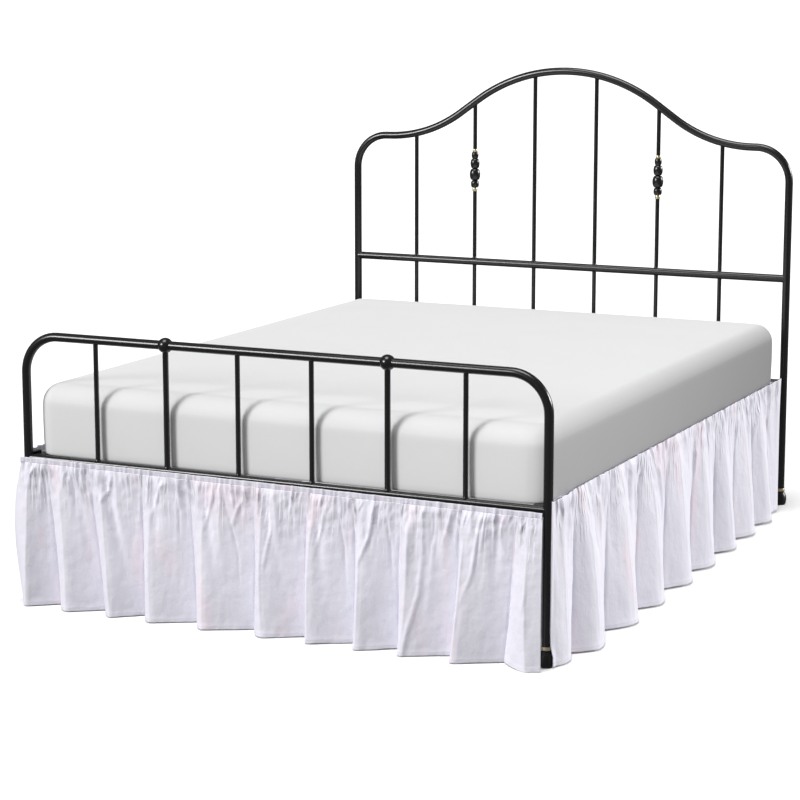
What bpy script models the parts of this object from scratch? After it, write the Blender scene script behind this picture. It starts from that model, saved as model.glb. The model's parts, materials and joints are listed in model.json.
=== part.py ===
"""Gathered bed skirt with split corners, on a metal bed frame with a mattress.

Lengths are in metres. +X is the right of someone standing at the foot of the bed, +Y runs from the foot to
the head and +Z is up. The origin is on the floor, under the middle of the whole object. Y values in the
tables and constants are measured from the plane of the footboard, which the empty "footboard_plane" carries.
"""

import math
from collections import namedtuple

import bmesh
import bpy
from mathutils import Vector

# Clearances
GAP = 0.0003                    # between two pieces that touch
DRAPE_CLEARANCE = 0.002         # between hanging cloth and an edge

# Bed frame
POST_SPACING = 1.550            # between the centres of a board's two posts
BOARD_SPACING = 2.069           # between the planes of the footboard and the headboard
TUBE_RADIUS = 0.0125
SPINDLE_RADIUS = 0.0068
SPINDLE_PITCH = 0.2195
SPINDLES_PER_BOARD = 6
ACCENT_SPINDLES = (2, 5)        # the spindles that carry a knob or a finial

# Footboard, heights of centre lines
FOOTBOARD_TOP_Z = 0.7506
FOOTBOARD_CORNER_RADIUS = 0.103
FOOTBOARD_RAIL_Z = 0.4075
FOOTBOARD_RAIL_RADIUS = 0.0095
FOOTBOARD_ACCENT_RADIUS = 0.0080
KNOB_RADIUS = 0.0210
KNOB_LIP = 0.0008               # wall of a knob where the tube leaves it
KNOB_STEPS = 8

# Headboard, heights of centre lines
HEADBOARD_TOP_Z = 1.4043
CROWN_RADIUS = 0.552
CROWN_HALF_ANGLE = math.radians(35.15)
ARCH_STRAIGHT = 0.082           # the sloping run between the crown and the hollow curve
HOLLOW_RADIUS = 0.461
SHOULDER_RADIUS = 0.111
HEADBOARD_RAIL_Z = 0.7494
HEADBOARD_RAIL_RADIUS = 0.0125
HIDDEN_RAIL_Z = 0.4080
HIDDEN_RAIL_RADIUS = 0.0095

# Feet
GLIDE_HEIGHT = 0.042
LEG_RING_Z = 0.0505
LEG_RING_HEIGHT = 0.0090
LEG_RING_RADIUS = 0.0146

# Mattress
MATTRESS_WIDTH = 1.524
MATTRESS_LENGTH = 2.000
MATTRESS_THICKNESS = 0.194
MATTRESS_BOTTOM_Z = 0.4170
MATTRESS_FRONT_Y = 0.018
MATTRESS_CORNER_RADIUS = 0.050
MATTRESS_TOP_RADIUS = 0.030
MATTRESS_FOOT_RADIUS = 0.012
MATTRESS_CORNER_STEPS = 5
MATTRESS_TOP_STEPS = 4
MATTRESS_FOOT_STEPS = 2

# Side rails and slats
RAIL_OUTER_X = 0.7590
RAIL_WIDTH = 0.030
RAIL_HEIGHT = 0.030
BRACKET_LENGTH = 0.033
BRACKET_OUTER_X = 0.7755
BRACKET_LUG_X = 0.7632          # the lug stands beside the mattress from here outwards
BRACKET_TOP_Z = 0.4215
SLAT_COUNT = 7
SLAT_WIDTH = 0.050
SLAT_THICKNESS = 0.012
SLAT_INSET = 0.120              # from an end of the mattress to the middle of the first slat

# Skirt
CLOTH_THICKNESS = 0.0016
HEADING_THICKNESS = 0.0015
HEADING_HEIGHT = 0.0145
HEADING_LEFT_TOP_Z = 0.4100     # the foot heading slopes a little from left to right
HEADING_RIGHT_TOP_Z = 0.4005
HEADING_LEFT_X = -0.790
HEADING_RIGHT_X = 0.757
HEADING_STEP_X = (-0.758, -0.735)   # between these it steps back from the leg to the rail
LEG_SPAN = 0.0275               # on each side of the left leg, where the foot panel is kept off it
SIDE_HEADING_WIDTH = 0.030
SIDE_HEADING_ENDS = (0.055, 2.014)
SIDE_TOP_Z = 0.4200
SIDE_TOP_X = 0.7660
FOOT_HEM_Z = 0.0065
SIDE_HEM_FRONT_Z = 0.0075
SIDE_HEM_HEAD_Z = 0.0200
SKIRT_REACH = 0.0898            # of the foremost crest, from the footboard's plane
GLIDE_REACH = 0.0195            # of a foot, from its board's plane

FOOTBOARD_PLANE_Y = -(BOARD_SPACING + GLIDE_REACH - SKIRT_REACH) / 2

# Lines of the gathered panels from one end to the other: ends, crests and valleys. at_top and at_hem place a
# line along the panel, at the gathers and at the hem. out_top and out_hem are how far it stands out.
Line = namedtuple("Line", "at_top at_hem out_top out_hem")

FOOT_LINES = (
    Line(-0.790, -0.776, 0.0156, 0.030),
    Line(-0.760, -0.750, 0.0160, 0.074),
    Line(-0.711, -0.665, 0.0128, 0.018),
    Line(-0.652, -0.607, 0.0128, 0.077),
    Line(-0.574, -0.519, 0.0128, 0.019),
    Line(-0.502, -0.465, 0.0128, 0.076),
    Line(-0.408, -0.394, 0.0128, 0.020),
    Line(-0.342, -0.336, 0.0128, 0.077),
    Line(-0.256, -0.231, 0.0128, 0.017),
    Line(-0.182, -0.174, 0.0128, 0.079),
    Line(-0.063, -0.059, 0.0128, 0.018),
    Line(0.004, 0.012, 0.0128, 0.078),
    Line(0.098, 0.104, 0.0128, 0.020),
    Line(0.158, 0.146, 0.0128, 0.080),
    Line(0.232, 0.244, 0.0128, 0.020),
    Line(0.306, 0.294, 0.0128, 0.083),
    Line(0.376, 0.373, 0.0128, 0.019),
    Line(0.441, 0.424, 0.0128, 0.084),
    Line(0.533, 0.521, 0.0128, 0.020),
    Line(0.603, 0.574, 0.0128, 0.089),
    Line(0.694, 0.665, 0.0128, 0.018),
    Line(0.740, 0.745, 0.0128, 0.080),
    Line(0.7595, 0.768, 0.0126, 0.058),
)
FOOT_END_BULGE = -0.030         # the left end swells out at half height

RIGHT_LINES = (
    Line(0.018, 0.027, 0.0165, 0.0245),
    Line(0.046, 0.056, 0.0165, 0.0465),
    Line(0.200, 0.132, 0.0000, 0.0225),
    Line(0.250, 0.205, 0.0004, 0.0785),
    Line(0.460, 0.372, 0.0000, 0.0245),
    Line(0.514, 0.468, 0.0004, 0.0805),
    Line(0.715, 0.602, 0.0000, 0.0225),
    Line(0.762, 0.692, 0.0004, 0.0765),
    Line(0.955, 0.842, 0.0000, 0.0235),
    Line(1.004, 0.942, 0.0004, 0.0755),
    Line(1.180, 1.070, 0.0000, 0.0245),
    Line(1.226, 1.160, 0.0004, 0.0705),
    Line(1.385, 1.310, 0.0000, 0.0225),
    Line(1.426, 1.388, 0.0004, 0.0665),
    Line(1.580, 1.508, 0.0000, 0.0225),
    Line(1.624, 1.594, 0.0004, 0.0625),
    Line(1.756, 1.712, 0.0000, 0.0215),
    Line(1.798, 1.790, 0.0004, 0.0590),
    Line(1.915, 1.874, 0.0000, 0.0205),
    Line(2.001, 1.958, 0.0040, 0.0320),
)

LEFT_LINES = (
    Line(0.018, 0.027, 0.0165, 0.0265),
    Line(0.105, 0.112, 0.0165, 0.0705),
    Line(0.190, 0.205, 0.0000, 0.0235),
    Line(0.285, 0.300, 0.0004, 0.0805),
    Line(0.395, 0.385, 0.0000, 0.0245),
    Line(0.500, 0.478, 0.0004, 0.0745),
    Line(0.600, 0.592, 0.0000, 0.0225),
    Line(0.705, 0.715, 0.0004, 0.0765),
    Line(0.820, 0.835, 0.0000, 0.0245),
    Line(0.930, 0.925, 0.0004, 0.0695),
    Line(1.025, 1.030, 0.0000, 0.0225),
    Line(1.150, 1.138, 0.0004, 0.0755),
    Line(1.255, 1.245, 0.0000, 0.0235),
    Line(1.340, 1.352, 0.0004, 0.0675),
    Line(1.440, 1.455, 0.0000, 0.0225),
    Line(1.550, 1.560, 0.0004, 0.0725),
    Line(1.665, 1.655, 0.0000, 0.0245),
    Line(1.770, 1.752, 0.0004, 0.0645),
    Line(1.875, 1.868, 0.0000, 0.0215),
    Line(1.965, 1.960, 0.0165, 0.0525),
    Line(2.050, 2.041, 0.0165, 0.0245),
)

# Shallow furrows that run down from the gathers and fade out. end is how far down, as a share of the drop.
Furrow = namedtuple("Furrow", "at_top at_end end depth")

FOOT_FURROWS = (
    Furrow(-0.632, -0.540, 0.80, 0.007),
    Furrow(-0.520, -0.425, 0.85, 0.009),
    Furrow(-0.370, -0.335, 0.60, 0.008),
    Furrow(-0.210, -0.150, 0.75, 0.008),
    Furrow(-0.030, 0.045, 0.70, 0.008),
    Furrow(0.125, 0.170, 0.80, 0.007),
    Furrow(0.245, 0.275, 0.65, 0.007),
    Furrow(0.405, 0.400, 0.85, -0.008),
    Furrow(0.470, 0.485, 0.55, 0.007),
    Furrow(0.635, 0.645, 0.60, 0.007),
)
RIGHT_FURROWS = (
    Furrow(0.110, 0.090, 0.45, 0.007),
    Furrow(0.330, 0.300, 0.55, 0.008),
    Furrow(0.410, 0.350, 0.50, 0.006),
    Furrow(0.590, 0.545, 0.65, 0.008),
    Furrow(0.835, 0.780, 0.55, 0.008),
    Furrow(0.890, 0.830, 0.45, -0.006),
    Furrow(1.090, 1.020, 0.55, 0.008),
    Furrow(1.310, 1.250, 0.50, 0.007),
    Furrow(1.500, 1.460, 0.70, 0.008),
    Furrow(1.690, 1.650, 0.50, 0.007),
    Furrow(1.865, 1.840, 0.45, 0.006),
)
LEFT_FURROWS = (
    Furrow(0.150, 0.165, 0.50, 0.007),
    Furrow(0.450, 0.430, 0.60, 0.008),
    Furrow(0.770, 0.790, 0.55, 0.008),
    Furrow(1.090, 1.080, 0.60, 0.007),
    Furrow(1.400, 1.410, 0.50, 0.008),
    Furrow(1.720, 1.700, 0.55, 0.007),
)

FOLD_GROWTH = 0.62              # folds open quickly below the gathers
FACET_SHARE = 0.30              # 0 is a rounded wave, 1 a sharp zigzag
PUCKER_PITCH = 0.033
PUCKER_DEPTH = 0.0034
PUCKER_DROP = 0.13              # share of the drop over which the puckers die away
PUCKER_AT_SEAM = 0.35           # share of their depth that they have at the seam itself
PUCKER_RISE = 0.05              # share of the drop over which they reach their whole depth
FURROW_WIDTH = 0.013
FURROW_RISE = 0.10              # share of the drop over which a furrow deepens
FURROW_GAIN = 1.6               # makes up for the two ends fading, so that a furrow reaches its depth
ROWS_DOWN = (0.0, 0.045, 0.12, 0.26, 0.46, 0.72, 1.0)
LEFT_ROWS_DOWN = (0.0, 0.06, 0.18, 0.42, 0.70, 1.0)
FOOT_COLUMN = 0.0122            # widest step between a panel's columns
RIGHT_COLUMN = 0.0160
LEFT_COLUMN = 0.0240

# The puckers' pitch wanders by the sum of these waves, all in radians.
Wave = namedtuple("Wave", "swing per_metre phase")
PUCKER_WANDER = (
    Wave(1.7, 9.1, 0.0),
    Wave(1.1, 23.0, 0.6),
)

ROUND_SIDES = 12
ROD_SIDES = 10
ARC_STEPS = 6
CROWN_STEPS = 7
SHARP_ANGLE = math.radians(40)  # edges sharper than this are shaded as edges


# ---------------------------------------------------------------- scene and materials

def clear_scene():
    """Remove every object that the file holds."""
    for thing in list(bpy.data.objects):
        bpy.data.objects.remove(thing, do_unlink=True)


def make_material(name, colour, roughness, metallic=0.0):
    """Return a plain Principled material."""
    material = bpy.data.materials.new(name)
    material.use_nodes = True
    shader = material.node_tree.nodes["Principled BSDF"]
    shader.inputs["Base Color"].default_value = (*colour, 1.0)
    shader.inputs["Roughness"].default_value = roughness
    shader.inputs["Metallic"].default_value = metallic
    material.diffuse_color = (*colour, 1.0)
    return material


def make_materials():
    """Return the finishes by name."""
    return {
        "black_steel": make_material("black_steel", (0.012, 0.012, 0.013), 0.38, 0.3),
        "black_plastic": make_material("black_plastic", (0.010, 0.010, 0.010), 0.55),
        "pale_gold": make_material("pale_gold", (0.62, 0.47, 0.22), 0.30, 1.0),
        "slat_steel": make_material("slat_steel", (0.03, 0.03, 0.03), 0.50, 0.3),
        "mattress_knit": make_material("mattress_knit", (0.66, 0.66, 0.66), 0.95),
        "white_cotton": make_material("white_cotton", (0.84, 0.83, 0.88), 0.92),
    }


def add_object(name, mesh, material, origin, place=(0.0, 0.0, 0.0)):
    """Link a mesh as an object of the bed."""
    thing = bpy.data.objects.new(name, mesh)
    bpy.context.scene.collection.objects.link(thing)
    if material:
        mesh.materials.clear()
        mesh.materials.append(material)
    thing.parent = origin
    thing.location = place
    return thing


def mesh_from_bmesh(name, shape, smooth=True):
    """Turn a bmesh into a mesh whose faces point outwards."""
    bmesh.ops.recalc_face_normals(shape, faces=shape.faces)
    mesh = bpy.data.meshes.new(name)
    shape.to_mesh(mesh)
    shape.free()
    if smooth:
        mesh.shade_smooth()
        mesh.set_sharp_from_angle(angle=SHARP_ANGLE)
    return mesh


def add_cutter(name, mesh, origin, place=(0.0, 0.0, 0.0)):
    """Add a guide that only cuts other pieces."""
    cutter = add_object(name, mesh, None, origin, place)
    cutter.hide_render = True
    cutter.display_type = 'WIRE'
    return cutter


def cut_with(thing, cutters):
    """Cope a piece round its neighbours."""
    for cutter in cutters:
        cut = thing.modifiers.new("cut_" + cutter.name, 'BOOLEAN')
        cut.operation = 'DIFFERENCE'
        cut.object = cutter


# ---------------------------------------------------------------- simple shapes

def box_mesh(name, size):
    """Return a box with its centre at the origin."""
    shape = bmesh.new()
    bmesh.ops.create_cube(shape, size=1.0)
    bmesh.ops.scale(shape, vec=size, verts=shape.verts)
    return mesh_from_bmesh(name, shape, smooth=False)


def rod_mesh(name, radius, length, sides=ROD_SIDES):
    """Return an upright rod with its foot at the origin."""
    shape = bmesh.new()
    bmesh.ops.create_cone(shape, cap_ends=True, segments=sides, radius1=radius, radius2=radius, depth=length)
    bmesh.ops.translate(shape, vec=(0.0, 0.0, length / 2), verts=shape.verts)
    return mesh_from_bmesh(name, shape)


def tube_mesh(name, path, radius, sides=ROUND_SIDES):
    """Sweep a round section along a path that lies in the XZ plane."""
    shape = bmesh.new()
    rings = []
    for index, point in enumerate(path):
        before = path[max(index - 1, 0)]
        after = path[min(index + 1, len(path) - 1)]
        along = (Vector(after) - Vector(before)).normalized()
        across = Vector((-along.z, 0.0, along.x))
        ring = []
        for side in range(sides):
            angle = 2 * math.pi * (side + 0.5) / sides
            offset = across * math.cos(angle) + Vector((0.0, 1.0, 0.0)) * math.sin(angle)
            ring.append(shape.verts.new(Vector(point) + offset * radius))
        rings.append(ring)
    for ring, following in zip(rings, rings[1:]):
        for side in range(sides):
            other = (side + 1) % sides
            shape.faces.new((ring[side], ring[other], following[other], following[side]))
    shape.faces.new(rings[0])
    shape.faces.new(rings[-1])
    return mesh_from_bmesh(name, shape)


def turned_mesh(name, profile, bore=0.0, sides=ROUND_SIDES):
    """Turn a profile of (radius, z) points, from the bottom up, round the Z axis."""
    shape = bmesh.new()
    outline = list(profile)
    if bore:
        outline += [(bore, outline[-1][1]), (bore, outline[0][1])]
    rings = []
    for radius, z in outline:
        turns = [2 * math.pi * (side + 0.5) / sides for side in range(sides)]
        rings.append([shape.verts.new((radius * math.cos(a), radius * math.sin(a), z)) for a in turns])
    pairs = list(zip(rings, rings[1:]))
    if bore:
        pairs.append((rings[-1], rings[0]))
    for ring, following in pairs:
        for side in range(sides):
            other = (side + 1) % sides
            shape.faces.new((ring[side], ring[other], following[other], following[side]))
    if not bore:
        shape.faces.new(rings[0])
        shape.faces.new(rings[-1])
    return mesh_from_bmesh(name, shape)


def arc_points(centre, radius, start, end, steps):
    """Return points on an arc in the XZ plane, from one angle to another."""
    points = []
    for step in range(steps + 1):
        angle = start + (end - start) * step / steps
        points.append((centre[0] + radius * math.cos(angle), 0.0, centre[1] + radius * math.sin(angle)))
    return points


# ---------------------------------------------------------------- boards

def footboard_path():
    """Return the footboard's hoop, from the left leg's foot to the right one's."""
    half = POST_SPACING / 2
    radius = FOOTBOARD_CORNER_RADIUS
    centre_z = FOOTBOARD_TOP_Z - radius
    left = arc_points((-half + radius, centre_z), radius, math.pi, math.pi / 2, ARC_STEPS)
    right = arc_points((half - radius, centre_z), radius, math.pi / 2, 0.0, ARC_STEPS)
    foot_z = GLIDE_HEIGHT + GAP
    return [(-half, 0.0, foot_z)] + left + right + [(half, 0.0, foot_z)]


def arch_half():
    """Return the right half of the headboard's arch, from the top of the crown to the straight post."""
    crown_centre = (0.0, HEADBOARD_TOP_Z - CROWN_RADIUS)
    up = math.pi / 2
    points = arc_points(crown_centre, CROWN_RADIUS, up, up - CROWN_HALF_ANGLE, CROWN_STEPS)
    end_x, _, end_z = points[-1]
    start_x = end_x + ARCH_STRAIGHT * math.cos(CROWN_HALF_ANGLE)
    start_z = end_z - ARCH_STRAIGHT * math.sin(CROWN_HALF_ANGLE)
    hollow_centre = (start_x + HOLLOW_RADIUS * math.sin(CROWN_HALF_ANGLE),
                     start_z + HOLLOW_RADIUS * math.cos(CROWN_HALF_ANGLE))
    points += arc_points(hollow_centre, HOLLOW_RADIUS, -up - CROWN_HALF_ANGLE, -up, ARC_STEPS)
    shoulder_z = points[-1][2] - SHOULDER_RADIUS
    shoulder_centre = (POST_SPACING / 2 - SHOULDER_RADIUS, shoulder_z)
    points += arc_points(shoulder_centre, SHOULDER_RADIUS, up, 0.0, ARC_STEPS)
    return points


def headboard_path():
    """Return the headboard's hoop, from the left leg's foot to the right one's."""
    right = arch_half()
    left = [(-x, y, z) for x, y, z in reversed(right[1:])]
    half = POST_SPACING / 2
    foot_z = GLIDE_HEIGHT + GAP
    return [(-half, 0.0, foot_z)] + left + right + [(half, 0.0, foot_z)]


def arch_height(x):
    """Return the height of the arch's centre line at a distance from the middle."""
    points = arch_half()
    for (x0, _, z0), (x1, _, z1) in zip(points, points[1:]):
        if x0 <= abs(x) <= x1 and x1 > x0:
            return z0 + (z1 - z0) * (abs(x) - x0) / (x1 - x0)
    return points[-1][2]


def spindle_places():
    """Return the spindles' distances from the middle, left to right, with their numbers."""
    first = -SPINDLE_PITCH * (SPINDLES_PER_BOARD - 1) / 2
    return [(number + 1, first + SPINDLE_PITCH * number) for number in range(SPINDLES_PER_BOARD)]


def add_rail(name, z, radius, board_y, cutter, finish, origin):
    """Add a level rail between two posts and return a fatter copy of it that cuts the spindles."""
    half = POST_SPACING / 2
    path = [(-half, 0.0, z), (half, 0.0, z)]
    rail = add_object(name, tube_mesh(name, path, radius), finish, origin, (0.0, board_y, 0.0))
    cut_with(rail, [cutter])
    guide = tube_mesh(name + "_guide", path, radius + GAP)
    return add_cutter(name + "_guide", guide, origin, (0.0, board_y, 0.0))


def add_footboard(finishes, origin):
    """Add the hoop, the rail, the spindles and the two knobs of the footboard."""
    steel = finishes["black_steel"]
    path = footboard_path()
    add_object("footboard_hoop", tube_mesh("footboard_hoop", path, TUBE_RADIUS), steel, origin)
    hoop_guide = add_cutter("footboard_guide", tube_mesh("footboard_guide", path, TUBE_RADIUS + GAP), origin)
    rail_guide = add_rail("footboard_rail", FOOTBOARD_RAIL_Z, FOOTBOARD_RAIL_RADIUS, 0.0, hoop_guide,
                          steel, origin)
    for number, x in spindle_places():
        accent = number in ACCENT_SPINDLES
        radius = FOOTBOARD_ACCENT_RADIUS if accent else SPINDLE_RADIUS
        name = "footboard_spindle_%d" % number
        rod = rod_mesh(name, radius, FOOTBOARD_TOP_Z - FOOTBOARD_RAIL_Z)
        spindle = add_object(name, rod, steel, origin, (x, 0.0, FOOTBOARD_RAIL_Z))
        guides = [hoop_guide, rail_guide]
        if accent:
            guides.append(add_knob(number, x, steel, origin))
        cut_with(spindle, guides)


def knob_profile(radius, bore):
    """Return the profile of a ball that a tube passes through."""
    reach = math.asin(bore / radius)
    turn = (math.pi - 2 * reach) / KNOB_STEPS
    angles = [-math.pi / 2 + reach + turn * step for step in range(KNOB_STEPS + 1)]
    return [(radius * math.cos(angle), radius * math.sin(angle)) for angle in angles]


def add_knob(number, x, finish, origin):
    """Add a ball round the top tube and return the guide that cuts the spindle under it."""
    name = "footboard_knob_%d" % number
    bore = TUBE_RADIUS + GAP
    place = (x, 0.0, FOOTBOARD_TOP_Z)
    profile = knob_profile(KNOB_RADIUS, bore + KNOB_LIP)
    knob = add_object(name, turned_mesh(name, profile, bore), finish, origin, place)
    knob.rotation_euler = (0.0, math.pi / 2, 0.0)
    guide_shape = bmesh.new()
    bmesh.ops.create_uvsphere(guide_shape, u_segments=16, v_segments=10, radius=KNOB_RADIUS + GAP)
    return add_cutter(name + "_guide", mesh_from_bmesh(name + "_guide", guide_shape), origin, place)


def add_headboard(finishes, origin):
    """Add the hoop, the two rails, the spindles, the finials and their rings."""
    steel = finishes["black_steel"]
    board_y = BOARD_SPACING
    path = headboard_path()
    add_object("headboard_hoop", tube_mesh("headboard_hoop", path, TUBE_RADIUS), steel, origin,
               (0.0, board_y, 0.0))
    hoop_guide = add_cutter("headboard_guide", tube_mesh("headboard_guide", path, TUBE_RADIUS + GAP), origin,
                            (0.0, board_y, 0.0))
    rail_guide = add_rail("headboard_rail", HEADBOARD_RAIL_Z, HEADBOARD_RAIL_RADIUS, board_y, hoop_guide,
                          steel, origin)
    hidden_guide = add_rail("headboard_lower_rail", HIDDEN_RAIL_Z, HIDDEN_RAIL_RADIUS, board_y, hoop_guide,
                            steel, origin)
    for number, x in spindle_places():
        upper_name = "headboard_spindle_%d_upper" % number
        upper = rod_mesh(upper_name, SPINDLE_RADIUS, arch_height(x) - HEADBOARD_RAIL_Z)
        cut_with(add_object(upper_name, upper, steel, origin, (x, board_y, HEADBOARD_RAIL_Z)),
                 [hoop_guide, rail_guide])
        lower_name = "headboard_spindle_%d_lower" % number
        lower = rod_mesh(lower_name, SPINDLE_RADIUS, HEADBOARD_RAIL_Z - HIDDEN_RAIL_Z)
        cut_with(add_object(lower_name, lower, steel, origin, (x, board_y, HIDDEN_RAIL_Z)),
                 [rail_guide, hidden_guide])
        if number in ACCENT_SPINDLES:
            add_finial(number, x, board_y, finishes, origin)


# A finial is a stack of beads on its spindle. Heights are of the beads' middles.
Bead = namedtuple("Bead", "z radius half_height")
FINIAL_BEADS = (
    Bead(1.0160, 0.0128, 0.0125),
    Bead(1.0485, 0.0172, 0.0200),
    Bead(1.0855, 0.0143, 0.0170),
    Bead(1.1140, 0.0108, 0.0115),
)
FINIAL_NECK_RADIUS = 0.0086
FINIAL_RING_RADIUS = 0.0088
FINIAL_RING_HEIGHTS = (0.0110, 0.0090)
BEAD_SHOULDER_SWELL = 0.75      # share of a bead's swell that it has at its shoulders
BEAD_SHOULDER_PLACE = 0.62      # how far the shoulders lie from its middle, as a share of half its height


def finial_profile():
    """Return the beads' outline from the bottom up, with a neck between each two."""
    first = FINIAL_BEADS[0]
    points = [(FINIAL_NECK_RADIUS, first.z - first.half_height)]
    for bead in FINIAL_BEADS:
        shoulder = FINIAL_NECK_RADIUS + BEAD_SHOULDER_SWELL * (bead.radius - FINIAL_NECK_RADIUS)
        rise = BEAD_SHOULDER_PLACE * bead.half_height
        points.append((shoulder, bead.z - rise))
        points.append((bead.radius, bead.z))
        points.append((shoulder, bead.z + rise))
        points.append((FINIAL_NECK_RADIUS, bead.z + bead.half_height))
    return points


def add_finial(number, x, board_y, finishes, origin):
    """Add the beads of a finial and the gold ring at each end of them."""
    bore = SPINDLE_RADIUS + GAP
    profile = finial_profile()
    name = "headboard_finial_%d" % number
    place = (x, board_y, 0.0)
    beads = turned_mesh(name, profile, bore, ROD_SIDES)
    add_object(name, beads, finishes["black_steel"], origin, place)
    lower_height, upper_height = FINIAL_RING_HEIGHTS
    lower_top = profile[0][1] - GAP
    upper_foot = profile[-1][1] + GAP
    spans = {"lower": (lower_top - lower_height, lower_top),
             "upper": (upper_foot, upper_foot + upper_height)}
    for end, (foot, top) in spans.items():
        ring_name = "finial_ring_%d_%s" % (number, end)
        outline = [(FINIAL_RING_RADIUS, foot), (FINIAL_RING_RADIUS, top)]
        ring = turned_mesh(ring_name, outline, bore, ROD_SIDES)
        add_object(ring_name, ring, finishes["pale_gold"], origin, place)


def glide_profile():
    """Return the outline of the rounded foot under a leg."""
    return [(0.0150, 0.0), (0.0180, 0.0040), (0.0202, 0.0150), (0.0202, 0.0270), (0.0175, 0.0370),
            (0.0130, GLIDE_HEIGHT)]


def add_feet(finishes, origin):
    """Add a glide and a gold ring to each leg."""
    ring_span = (LEG_RING_Z - LEG_RING_HEIGHT / 2, LEG_RING_Z + LEG_RING_HEIGHT / 2)
    for board, y in (("foot", 0.0), ("head", BOARD_SPACING)):
        for side, x in (("left", -POST_SPACING / 2), ("right", POST_SPACING / 2)):
            glide_name = "glide_%s_%s" % (board, side)
            glide = turned_mesh(glide_name, glide_profile())
            add_object(glide_name, glide, finishes["black_plastic"], origin, (x, y, 0.0))
            ring_name = "leg_ring_%s_%s" % (board, side)
            outline = [(LEG_RING_RADIUS, z) for z in ring_span]
            ring = turned_mesh(ring_name, outline, TUBE_RADIUS + GAP)
            add_object(ring_name, ring, finishes["pale_gold"], origin, (x, y, 0.0))


# ---------------------------------------------------------------- rails, slats and mattress

def rail_top():
    """Return the height of the side rails' top face, which carries the headings."""
    return MATTRESS_BOTTOM_Z - HEADING_THICKNESS - 2 * GAP


def bracket_mesh(name, sign):
    """Return an end bracket: a block as tall as the rail with a lug that stands beside the mattress."""
    foot = rail_top() - RAIL_HEIGHT
    outline = [(RAIL_OUTER_X - RAIL_WIDTH, foot), (BRACKET_OUTER_X, foot), (BRACKET_OUTER_X, BRACKET_TOP_Z),
               (BRACKET_LUG_X, BRACKET_TOP_Z), (BRACKET_LUG_X, rail_top()),
               (RAIL_OUTER_X - RAIL_WIDTH, rail_top())]
    shape = bmesh.new()
    profile = shape.faces.new([shape.verts.new((sign * x, -BRACKET_LENGTH / 2, z)) for x, z in outline])
    extruded = bmesh.ops.extrude_face_region(shape, geom=[profile])
    moved = [item for item in extruded["geom"] if isinstance(item, bmesh.types.BMVert)]
    bmesh.ops.translate(shape, vec=(0.0, BRACKET_LENGTH, 0.0), verts=moved)
    return mesh_from_bmesh(name, shape, smooth=False)


def add_side_rails(finishes, origin):
    """Add a rail along each side with a bracket at each end."""
    steel = finishes["black_steel"]
    foot_face = TUBE_RADIUS + GAP
    rail_ends = (foot_face + BRACKET_LENGTH + GAP, BOARD_SPACING - foot_face - BRACKET_LENGTH - GAP)
    rail_length = rail_ends[1] - rail_ends[0]
    rail_z = rail_top() - RAIL_HEIGHT / 2
    for side, sign in (("left", -1), ("right", 1)):
        rail_name = "side_rail_" + side
        rail_x = sign * (RAIL_OUTER_X - RAIL_WIDTH / 2)
        add_object(rail_name, box_mesh(rail_name, (RAIL_WIDTH, rail_length, RAIL_HEIGHT)), steel, origin,
                   (rail_x, sum(rail_ends) / 2, rail_z))
        for end, y in (("foot", foot_face + BRACKET_LENGTH / 2),
                       ("head", BOARD_SPACING - foot_face - BRACKET_LENGTH / 2)):
            name = "bracket_%s_%s" % (end, side)
            add_object(name, bracket_mesh(name, sign), steel, origin, (0.0, y, 0.0))


def add_slats(finishes, origin):
    """Add the cross slats that the mattress lies on."""
    length = 2 * (RAIL_OUTER_X - RAIL_WIDTH - GAP)
    top = MATTRESS_BOTTOM_Z - GAP
    first = MATTRESS_FRONT_Y + SLAT_INSET
    pitch = (MATTRESS_LENGTH - 2 * SLAT_INSET) / (SLAT_COUNT - 1)
    for number in range(SLAT_COUNT):
        name = "slat_%d" % (number + 1)
        add_object(name, box_mesh(name, (length, SLAT_WIDTH, SLAT_THICKNESS)), finishes["slat_steel"], origin,
                   (0.0, first + pitch * number, top - SLAT_THICKNESS / 2))


def add_mattress(finishes, origin):
    """Add the mattress, a block with rounded corners and edges and a flat top."""
    shape = bmesh.new()
    bmesh.ops.create_cube(shape, size=1.0)
    bmesh.ops.scale(shape, vec=(MATTRESS_WIDTH, MATTRESS_LENGTH, MATTRESS_THICKNESS), verts=shape.verts)
    half = MATTRESS_THICKNESS / 2
    upright = [edge for edge in shape.edges if abs(edge.verts[0].co.z - edge.verts[1].co.z) > half]
    bmesh.ops.bevel(shape, geom=upright, offset=MATTRESS_CORNER_RADIUS, segments=MATTRESS_CORNER_STEPS,
                    profile=0.5, affect='EDGES', material=-1)
    for sign, radius, segments in ((1, MATTRESS_TOP_RADIUS, MATTRESS_TOP_STEPS),
                                   (-1, MATTRESS_FOOT_RADIUS, MATTRESS_FOOT_STEPS)):
        level = [edge for edge in shape.edges
                 if all(half - vert.co.z * sign < GAP for vert in edge.verts)]
        bmesh.ops.bevel(shape, geom=level, offset=radius, segments=segments, profile=0.5,
                        affect='EDGES', material=-1)
    add_object("mattress", mesh_from_bmesh("mattress", shape), finishes["mattress_knit"], origin,
               (0.0, MATTRESS_FRONT_Y + MATTRESS_LENGTH / 2, MATTRESS_BOTTOM_Z + MATTRESS_THICKNESS / 2))


# ---------------------------------------------------------------- skirt

def smooth_step(share):
    """Ease from 0 to 1."""
    share = min(max(share, 0.0), 1.0)
    return share * share * (3 - 2 * share)


def heading_top(x):
    """Return the height of the foot heading's upper edge."""
    share = (x - HEADING_LEFT_X) / (HEADING_RIGHT_X - HEADING_LEFT_X)
    return HEADING_LEFT_TOP_Z + (HEADING_RIGHT_TOP_Z - HEADING_LEFT_TOP_Z) * share


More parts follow.
